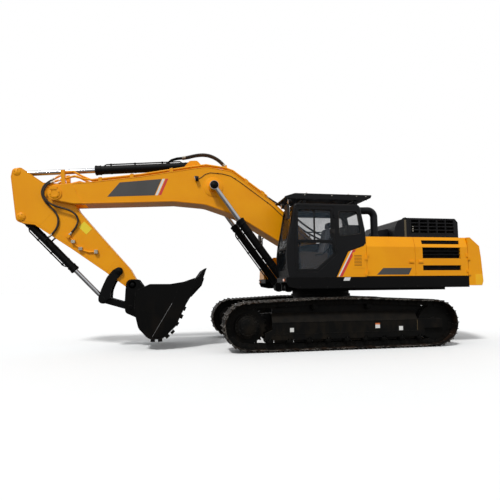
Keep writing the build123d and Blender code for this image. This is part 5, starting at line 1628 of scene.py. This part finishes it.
@dataclass
class Arm:
    """Trim of the arm: side plates, weld beads, pin caps, blank label, clamps and unions."""

    half: float = 185.0
    outline: Corners = (
        (7020, 4070, 80), (7195, 4040, 90), (7225, 3850, 60), (7105, 3010), (7080, 2850, 110),
        (6900, 2800, 110), (6699, 2779), (5912, 2251), (5154, 1713), (4640, 1330, 60), (4480, 1330, 100),
        (4440, 1480, 60), (4610, 1780), (5167, 2415), (5785, 3135), (5960, 3480, 180), (6200, 3730, 180),
        (6541, 3740))
    upper_pins: Corners = ((7104, 3967, 84, 187), (6982, 2952, 92, 196))
    lower_pins: Corners = ((4557, 1425, 92, 241), (4857, 1739, 78, 251))

    def plates(self) -> None:
        """Makes the raised side plates, the weld beads and the pins' caps."""
        plates, beads, caps, bosses, bolts = Form(), Form(), Form(), Form(), Scatter()
        edge = rounded(list(self.outline), 6)
        for way in WAYS:
            y = way * self.half
            plates.side(shrunk(edge, 46), y - way * 2, y + way * 2)
            beads.loop([(x, y, z) for x, z in shrunk(edge, 10)], 4, 6)
            for form, pins in ((bosses, self.upper_pins), (caps, self.lower_pins)):
                for x, z, radius, out in pins:
                    form.lathe((x, way * (out - 2), z), (0, way, 0),
                               [(0, radius), (8, radius), (12, radius - 6), (12, 30), (14, 26), (14, 0)], 32)
            for x, z, radius, out in self.upper_pins:
                bolts.circle((x, way * (out + 9), z), (0, way, 0), radius * 0.62, 4, 0.4)
            for low, high in (((6600, 2752), (6245, 3150)), ((5140, 1722), (4960, 1960)),
                              ((5080, 2300), (5120, 2270))):
                beads.tube([(low[0], y, low[1]), (high[0], y, high[1])], 4, 6)
        plates.soften(2.5, 1)
        plates.piece("arm_side_plates", ORANGE, Body.ARM, Slot.ORANGE)
        beads.piece("arm_welds", ORANGE, Body.ARM, Slot.ORANGE)
        caps.piece("arm_pin_caps", BLACK, Body.ARM, Slot.BLACK)
        bosses.piece("arm_bosses", ORANGE, Body.ARM, Slot.ORANGE)
        bolts.piece("arm_cap_bolts", bolt_mesh(10, 9), ORANGE, Body.ARM, Slot.ORANGE)

    def fittings(self) -> None:
        """Makes the blank label, the clamps' bolts and the pipes' unions."""
        for side, way in SIDES:
            form = Form()
            form.side([(5760, 2740), (5640, 2870), (5470, 2700), (5590, 2570)], way * (self.half + 2),
                      way * (self.half + 5))
            form.piece(f"arm_label_{side}", YELLOW_MARK, Body.ARM, Slot.ORANGE)
        bolts, unions = Scatter(), Form()
        for way in WAYS:
            for x, z in (((5822, 5902), (2368, 2436)), ((5660, 5740), (2208, 2276)),
                         ((5328, 5402), (2133, 2217))):
                unions.box(x, (way * (self.half + 2), way * (self.half + 64)), z)
            for x, z in ((5840, 2402), (5884, 2402), (5678, 2242), (5722, 2242), (5352, 2196), (5378, 2150)):
                bolts.put((x, way * 245, z), (0, way, 0))
            unions.lathe((5944, way * 214, 2551), (-0.6, 0, 0.8), [(0, 28), (4, 34), (26, 34), (30, 28)], 6)
            unions.lathe((5405, way * 203, 2172), (-1, 0, 0), [(0, 24), (3, 28), (20, 28), (22, 24)], 6)
        bolts.piece("arm_clamp_bolts", bolt_mesh(9, 9), ZINC, Body.ARM, Slot.CHROME)
        unions.piece("arm_unions", ZINC, Body.ARM, Slot.CHROME)

    def build(self) -> None:
        """Makes all of the arm's trim."""
        self.plates()
        self.fittings()


@dataclass
class Bucket:
    """Trim of the bucket: side plates, wear blocks and strips, tooth adapters with pins, lip guards."""

    half: float = 750.0
    tooth_count: int = 5
    first_tooth: float = 95.0
    middle: Point2 = (3950.0, 900.0)
    shell: Corners = (
        (4143, 1432), (4452, 1290), (4470, 860, 60), (4376, 480, 200), (4150, 235, 200), (3860, 235, 180),
        (3567, 527, 300), (3346, 997), (3161, 1302), (3052, 1394), (3170, 1560, 20), (3413, 1476),
        (3702, 1430))

    def build(self) -> None:
        """Makes all of the bucket's trim."""
        self.sides()
        self.strips()
        self.lip()

    def sides(self) -> None:
        """Makes the side plates, their wear blocks, the weld beads and pale lines painted as highlights on
        their front edges.
        """
        plates, blocks, seams = Form(), Form(), Form()
        edge = shrunk(rounded(list(self.shell), 6), 14)
        for way in WAYS:
            y = way * self.half
            front = [(4083, 290, 30), (3872, 268, 150), (3594, 545, 200), (3376, 1008), (3196, 1306),
                     (3120, 1392, 20), (3180, 1520, 20), (3500, 1425), (3660, 1012)]
            plates.side(rounded(front, 6), y - way * 2, y + way * 8)
            seams.loop([(x, y, z) for x, z in edge], 6, 6)
            for x, z, lean in ((3427, 903, 1.12), (3489, 733, 1.12), (3580, 580, 1.0), (3672, 413, 0.85),
                               (3778, 324, 0.7), (3914, 252, 0.1), (4065, 252, -0.05)):
                run, out = Vector((math.cos(lean), -math.sin(lean))), Vector((math.sin(lean), math.cos(lean)))
                spot = Vector((x, z)) - out * 36
                corners = [spot + run * a * 46 + out * b * 30 for a, b in ((-1, -1), (1, -1), (1, 1),
                                                                           (-1, 1))]
                blocks.side([(c.x, c.y) for c in corners], y + way * 6, y + way * 30)
        plates.soften(2.5, 1)
        plates.piece("bucket_side_plates", BUCKET_BLACK, Body.BUCKET, Slot.BLACK)
        seams.piece("bucket_welds", BUCKET_BLACK, Body.BUCKET, Slot.BLACK)
        blocks.soften(4)
        blocks.piece("bucket_wear_blocks", BUCKET_BLACK, Body.BUCKET, Slot.BLACK)
        # A pale thin tube painted as the highlight along each side plate's front edge.
        rubbed = Form()
        for way in WAYS:
            rubbed.tube([(4078, way * (self.half + 7), 292), (3658, way * (self.half + 7), 1012)], 3.5, 6)
        rubbed.piece("bucket_rubbed_edge", EDGE_HIGHLIGHT, Body.BUCKET, Slot.BLACK)

    def strips(self) -> None:
        """Makes the wear strips under the shell."""
        strips = Form()
        hull = rounded(list(self.shell), 8)
        under = [point for point in hull if point[1] < 620 and point[0] < 4420]
        under.sort(key=lambda point: math.atan2(point[1] - self.middle[1], point[0] - self.middle[0]))
        outer = [self._pushed(point, 16) for point in under]
        for y in (-540, -180, 180, 540):
            strips.side(outer + under[::-1], y - 45, y + 45)
        strips.piece("bucket_wear_strips", BUCKET_BLACK, Body.BUCKET, Slot.BLACK)

    def lip(self) -> None:
        """Makes the teeth's adapters with their pins, and the guards between them."""
        holders, pins, guards = Form(), Form(), Form()
        step = (self.half - self.first_tooth) * 2 / (self.tooth_count - 1)
        for index in range(self.tooth_count):
            y = -self.half + self.first_tooth + index * step
            holders.side(rounded([(3262, 1118, 20), (3012, 1388, 30), (2958, 1548, 12), (3062, 1602, 12),
                                  (3138, 1556, 20), (3256, 1336, 20)]), y - 74, y + 74)
            pins.drum((3022, y - 82, 1498), (3022, y + 82, 1498), 17, 14)
        holders.soften(7)
        holders.piece("tooth_adapters", BUCKET_BLACK, Body.BUCKET, Slot.BLACK)
        pins.piece("tooth_pins", CAST, Body.BUCKET, Slot.BLACK)
        for index in range(self.tooth_count - 1):
            y = -self.half + self.first_tooth + (index + 0.5) * step
            guards.side(rounded([(3190, 1262, 10), (3030, 1392, 30), (3040, 1420, 20), (3168, 1570, 10),
                                 (3186, 1540)]), y - 70, y + 70)
        guards.soften(6)
        guards.piece("lip_guards", BUCKET_BLACK, Body.BUCKET, Slot.BLACK)

    def _pushed(self, point: Point2, amount: float) -> Point2:
        """Moves a point of the shell out from the bucket's middle."""
        out = Vector((point[0] - self.middle[0], point[1] - self.middle[1])).normalized() * amount
        return (point[0] + out.x, point[1] + out.y)


@dataclass(frozen=True)
class Cylinder:
    """Trim of one hydraulic cylinder: collars, gland bolts, wiper, pipe with its clamps, eye rings."""

    name: str
    base: Point2
    eye: Point2
    places: tuple[float, ...]
    barrel: float
    rod: float
    gland: float
    body: Body
    rod_body: Body
    pipe_way: int
    eye_half: float = 52.0

    def spot(self, distance: float, y: float, out: float = 0.0) -> Point3:
        """Returns a place along the cylinder's axis, moved out of it in the side view."""
        run = (Vector(self.eye) - Vector(self.base)).normalized()
        place = Vector(self.base) + run * distance + Vector((-run.y, run.x)) * out
        return (place.x, y, place.y)

    def build(self) -> None:
        """Makes the cylinder's trim."""
        run = (Vector(self.eye) - Vector(self.base)).normalized()
        axis = (run.x, 0, run.y)
        form, bolts, wiper, clamps, eyes = Form(), Scatter(), Form(), Form(), Form()
        r, rod = self.barrel, self.rod
        out = (r + 30) * self.pipe_way
        start, end = 260.0, self.gland - 190
        for y in self.places:
            form.lathe(self.spot(self.gland - 132, y), axis,
                       [(0, r - 2), (0, r + 9), (4, r + 15), (26, r + 15), (30, r + 10), (90, r + 10),
                        (94, r + 17), (128, r + 17), (134, r + 12), (134, r - 2)], 36, True)
            form.lathe(self.spot(168, y), axis, [(0, r - 2), (6, r + 6), (20, r + 6), (26, r - 2)], 36, True)
            bolts.circle(self.spot(self.gland + 2, y), axis, (rod + r + 12) / 2 + 2, 10)
            wiper.lathe(self.spot(self.gland, y), axis, [(0, rod + 1), (0, rod + 14), (12, rod + 12),
                                                         (16, rod + 1)],
                        30, True)
            form.tube([self.spot(start, y, out * 0.72), self.spot(start + 50, y, out),
                       self.spot(end - 60, y, out), self.spot(end, y, out * 0.72)], 15, 10)
            for share in (0.25, 0.6, 0.9):
                distance = start + (end - start) * share
                clamps.lathe(self.spot(distance, y), axis, [(0, r - 2), (1, r + 5), (33, r + 5), (34, r - 2)],
                             36, True)
                clamps.drum(self.spot(distance - 2, y, out), self.spot(distance + 36, y, out), 22, 12)
                for foot in (distance, distance + 34):
                    clamps.tube([self.spot(foot, y, out * 0.86), self.spot(distance + 17, y, out)], 13, 6)
            x, _, z = self.spot(math.dist(self.base, self.eye), y)
            for way in WAYS:
                eyes.lathe((x, y + way * (self.eye_half - 1), z), (0, way, 0),
                           [(0, 98), (4, 98), (6, 94), (6, 60), (3, 58)], 32)
        form.piece(f"{self.name}_collars", BLACK, self.body, Slot.BLACK)
        wiper.piece(f"{self.name}_wiper", SEAL, self.body, Slot.BLACK)
        bolts.piece(f"{self.name}_bolts", bolt_mesh(9, 12), BLACK, self.body, Slot.BLACK)
        clamps.piece(f"{self.name}_clamps", BLACK, self.body, Slot.BLACK)
        eyes.piece(f"{self.name}_eye_rings", BLACK, self.rod_body, Slot.BLACK)


CYLINDERS = (
    Cylinder("boom_cylinder", (950, 1320), (2709, 3730), (480, -480), 92, 55, 1976, Body.BOOM_BARRELS,
             Body.BOOM_RODS, -1, 65.0),
    Cylinder("arm_cylinder", (3176, 4302), (7104, 3967), (0,), 100, 58, 2280, Body.ARM_BARREL, Body.ARM_ROD,
             1),
    Cylinder("bucket_cylinder", (6982, 2952), (5207, 1102), (0,), 86, 50, 1640, Body.BUCKET_BARREL,
             Body.BUCKET_ROD, 1),
)


# Stage


@dataclass
class Stage:
    """The pale floor, the lights, the world and the camera of the photograph's view."""

    camera_at: Point3 = (3620.3, 10361.8, 1348.3)
    yaw: float = 0.1755
    pitch: float = 0.0858
    roll: float = -0.0097
    lens: float = 30.87
    film: float = 36.0
    far: float = 400.0
    sun_strength: float = 2.1
    sun_width: float = 9.0
    sun_run: Point3 = (-0.42, -0.62, -1.0)
    sky: Colour = (0.94, 0.97, 1.0, 1)
    sky_strength: float = 0.62
    floor_reach: float = 90.0
    floor_bounce: Colour = (0.14, 0.13, 0.12, 1)

    def camera(self) -> None:
        """Sets up the camera."""
        data = bpy.data.cameras.new("camera")
        data.lens, data.sensor_width = self.lens, self.film
        data.clip_end = self.far
        right = Vector((-math.cos(self.yaw), math.sin(self.yaw), 0))
        ahead = Vector((-math.sin(self.yaw), -math.cos(self.yaw), 0))
        up = Vector((0, 0, 1))
        look = ahead * math.cos(self.pitch) + up * math.sin(self.pitch)
        top = up * math.cos(self.pitch) - ahead * math.sin(self.pitch)
        across = right * math.cos(self.roll) + top * math.sin(self.roll)
        above = top * math.cos(self.roll) - right * math.sin(self.roll)
        turn = Matrix((across, above, -look)).transposed().to_4x4()
        holder = placed("camera", data)
        holder.matrix_world = Matrix.Translation(at(*self.camera_at)) @ turn
        bpy.context.scene.camera = holder

    def lights(self) -> None:
        """Adds one broad soft sun and a pale world."""
        sun = bpy.data.lights.new("sun", "SUN")
        sun.energy, sun.angle = self.sun_strength, math.radians(self.sun_width)
        holder = placed("sun", sun)
        holder.rotation_euler = Vector(self.sun_run).to_track_quat("-Z", "Y").to_euler()
        world = bpy.data.worlds.new("pale sky")
        world.use_nodes = True
        tree = world.node_tree
        tree.nodes.clear()
        out = tree.nodes.new("ShaderNodeOutputWorld")
        seen, lit = tree.nodes.new("ShaderNodeBackground"), tree.nodes.new("ShaderNodeBackground")
        seen.inputs["Color"].default_value = (1, 1, 1, 1)
        lit.inputs["Color"].default_value = self.sky
        lit.inputs["Strength"].default_value = self.sky_strength
        rays = tree.nodes.new("ShaderNodeLightPath")
        share = rays.outputs["Is Camera Ray"]
        for kind in ("Is Transmission Ray", "Is Glossy Ray"):
            either = tree.nodes.new("ShaderNodeMath")
            either.operation = "MAXIMUM"
            tree.links.new(share, either.inputs[0])
            tree.links.new(rays.outputs[kind], either.inputs[1])
            share = either.outputs[0]
        both = tree.nodes.new("ShaderNodeMixShader")
        tree.links.new(share, both.inputs[0])
        tree.links.new(lit.outputs[0], both.inputs[1])
        tree.links.new(seen.outputs[0], both.inputs[2])
        tree.links.new(both.outputs[0], out.inputs["Surface"])
        bpy.context.scene.world = world

    def floor(self) -> None:
        """Adds the plain pale floor."""
        data = bpy.data.meshes.new("floor")
        reach = self.floor_reach
        corners = [(-reach, -reach), (reach, -reach), (reach, reach), (-reach, reach)]
        data.from_pydata([(x, y, 0.0) for x, y in corners], [], [(0, 1, 2, 3)])
        floor = bpy.data.objects.new("floor", data)
        tree = Tree("pale floor")
        shade = tree.mix(tree.noise(0.4, 3), (0.90, 0.90, 0.89, 1), (0.93, 0.93, 0.92, 1))
        seen = tree.add("ShaderNodeLightPath").outputs["Is Camera Ray"]
        colour = tree.mix(seen, self.floor_bounce, shade)
        data.materials.append(tree.finish(Base_Color=colour, Roughness=0.9))
        bpy.context.collection.objects.link(floor)

    def build(self) -> None:
        """Builds the whole stage."""
        self.camera()
        self.lights()
        self.floor()
        bpy.context.scene.view_settings.view_transform = "Standard"


def dress_frame() -> None:
    """Gives every CAD node that shows its finish."""
    dress(ORANGE, "arm", "arm_pipes", "boom", "boom_pipes", "cab_side_panel", "counterweight", "fuel_tank",
          "hydraulic_tank", "left_door_front", "left_door_rear", "pump_door", "tool_box")
    dress(BLACK, "arm_cylinder_barrel", "boom_cylinder_barrels", "bucket_cylinder_barrel", "bucket_link",
          "rocker_links", "house_frame", "handrails")
    dress(BUCKET_BLACK, "bucket")
    dress(CHROME, "arm_cylinder_rod", "boom_cylinder_rods", "bucket_cylinder_rod")
    dress(CAB_GREY, "cab_shell", "cab_door", "roof_guard")
    dress(HOOD_GREY, "engine_hood", "hood_shell", "intake_pipe")
    dress(GLASS, "cab_glass")
    dress(DOOR_GLASS, "door_glass")
    dress(SEAT_CLOTH, "seat")
    dress(TRIM, "mirrors")
    dress(CAST, "engine", "slew_ring", "idler_left", "idler_right", "track_rollers_left",
          "track_rollers_right")
    dress(TRACK_BLACK, "car_body", "track_frame_left", "track_frame_right", "sprocket_left", "sprocket_right")
    dress(CHAIN_STEEL, "track_left", "track_right")


def main() -> None:
    """Builds the dressed excavator on its stage."""
    logging.basicConfig(level=logging.INFO, format="%(name)s: %(message)s")
    Stage().build()
    lay_hoses()
    dress_frame()
    for part in (Tracks(), House(), Cab(), Boom(), Arm(), Bucket(), *CYLINDERS):
        part.build()


if __name__ == "__main__":
    main()
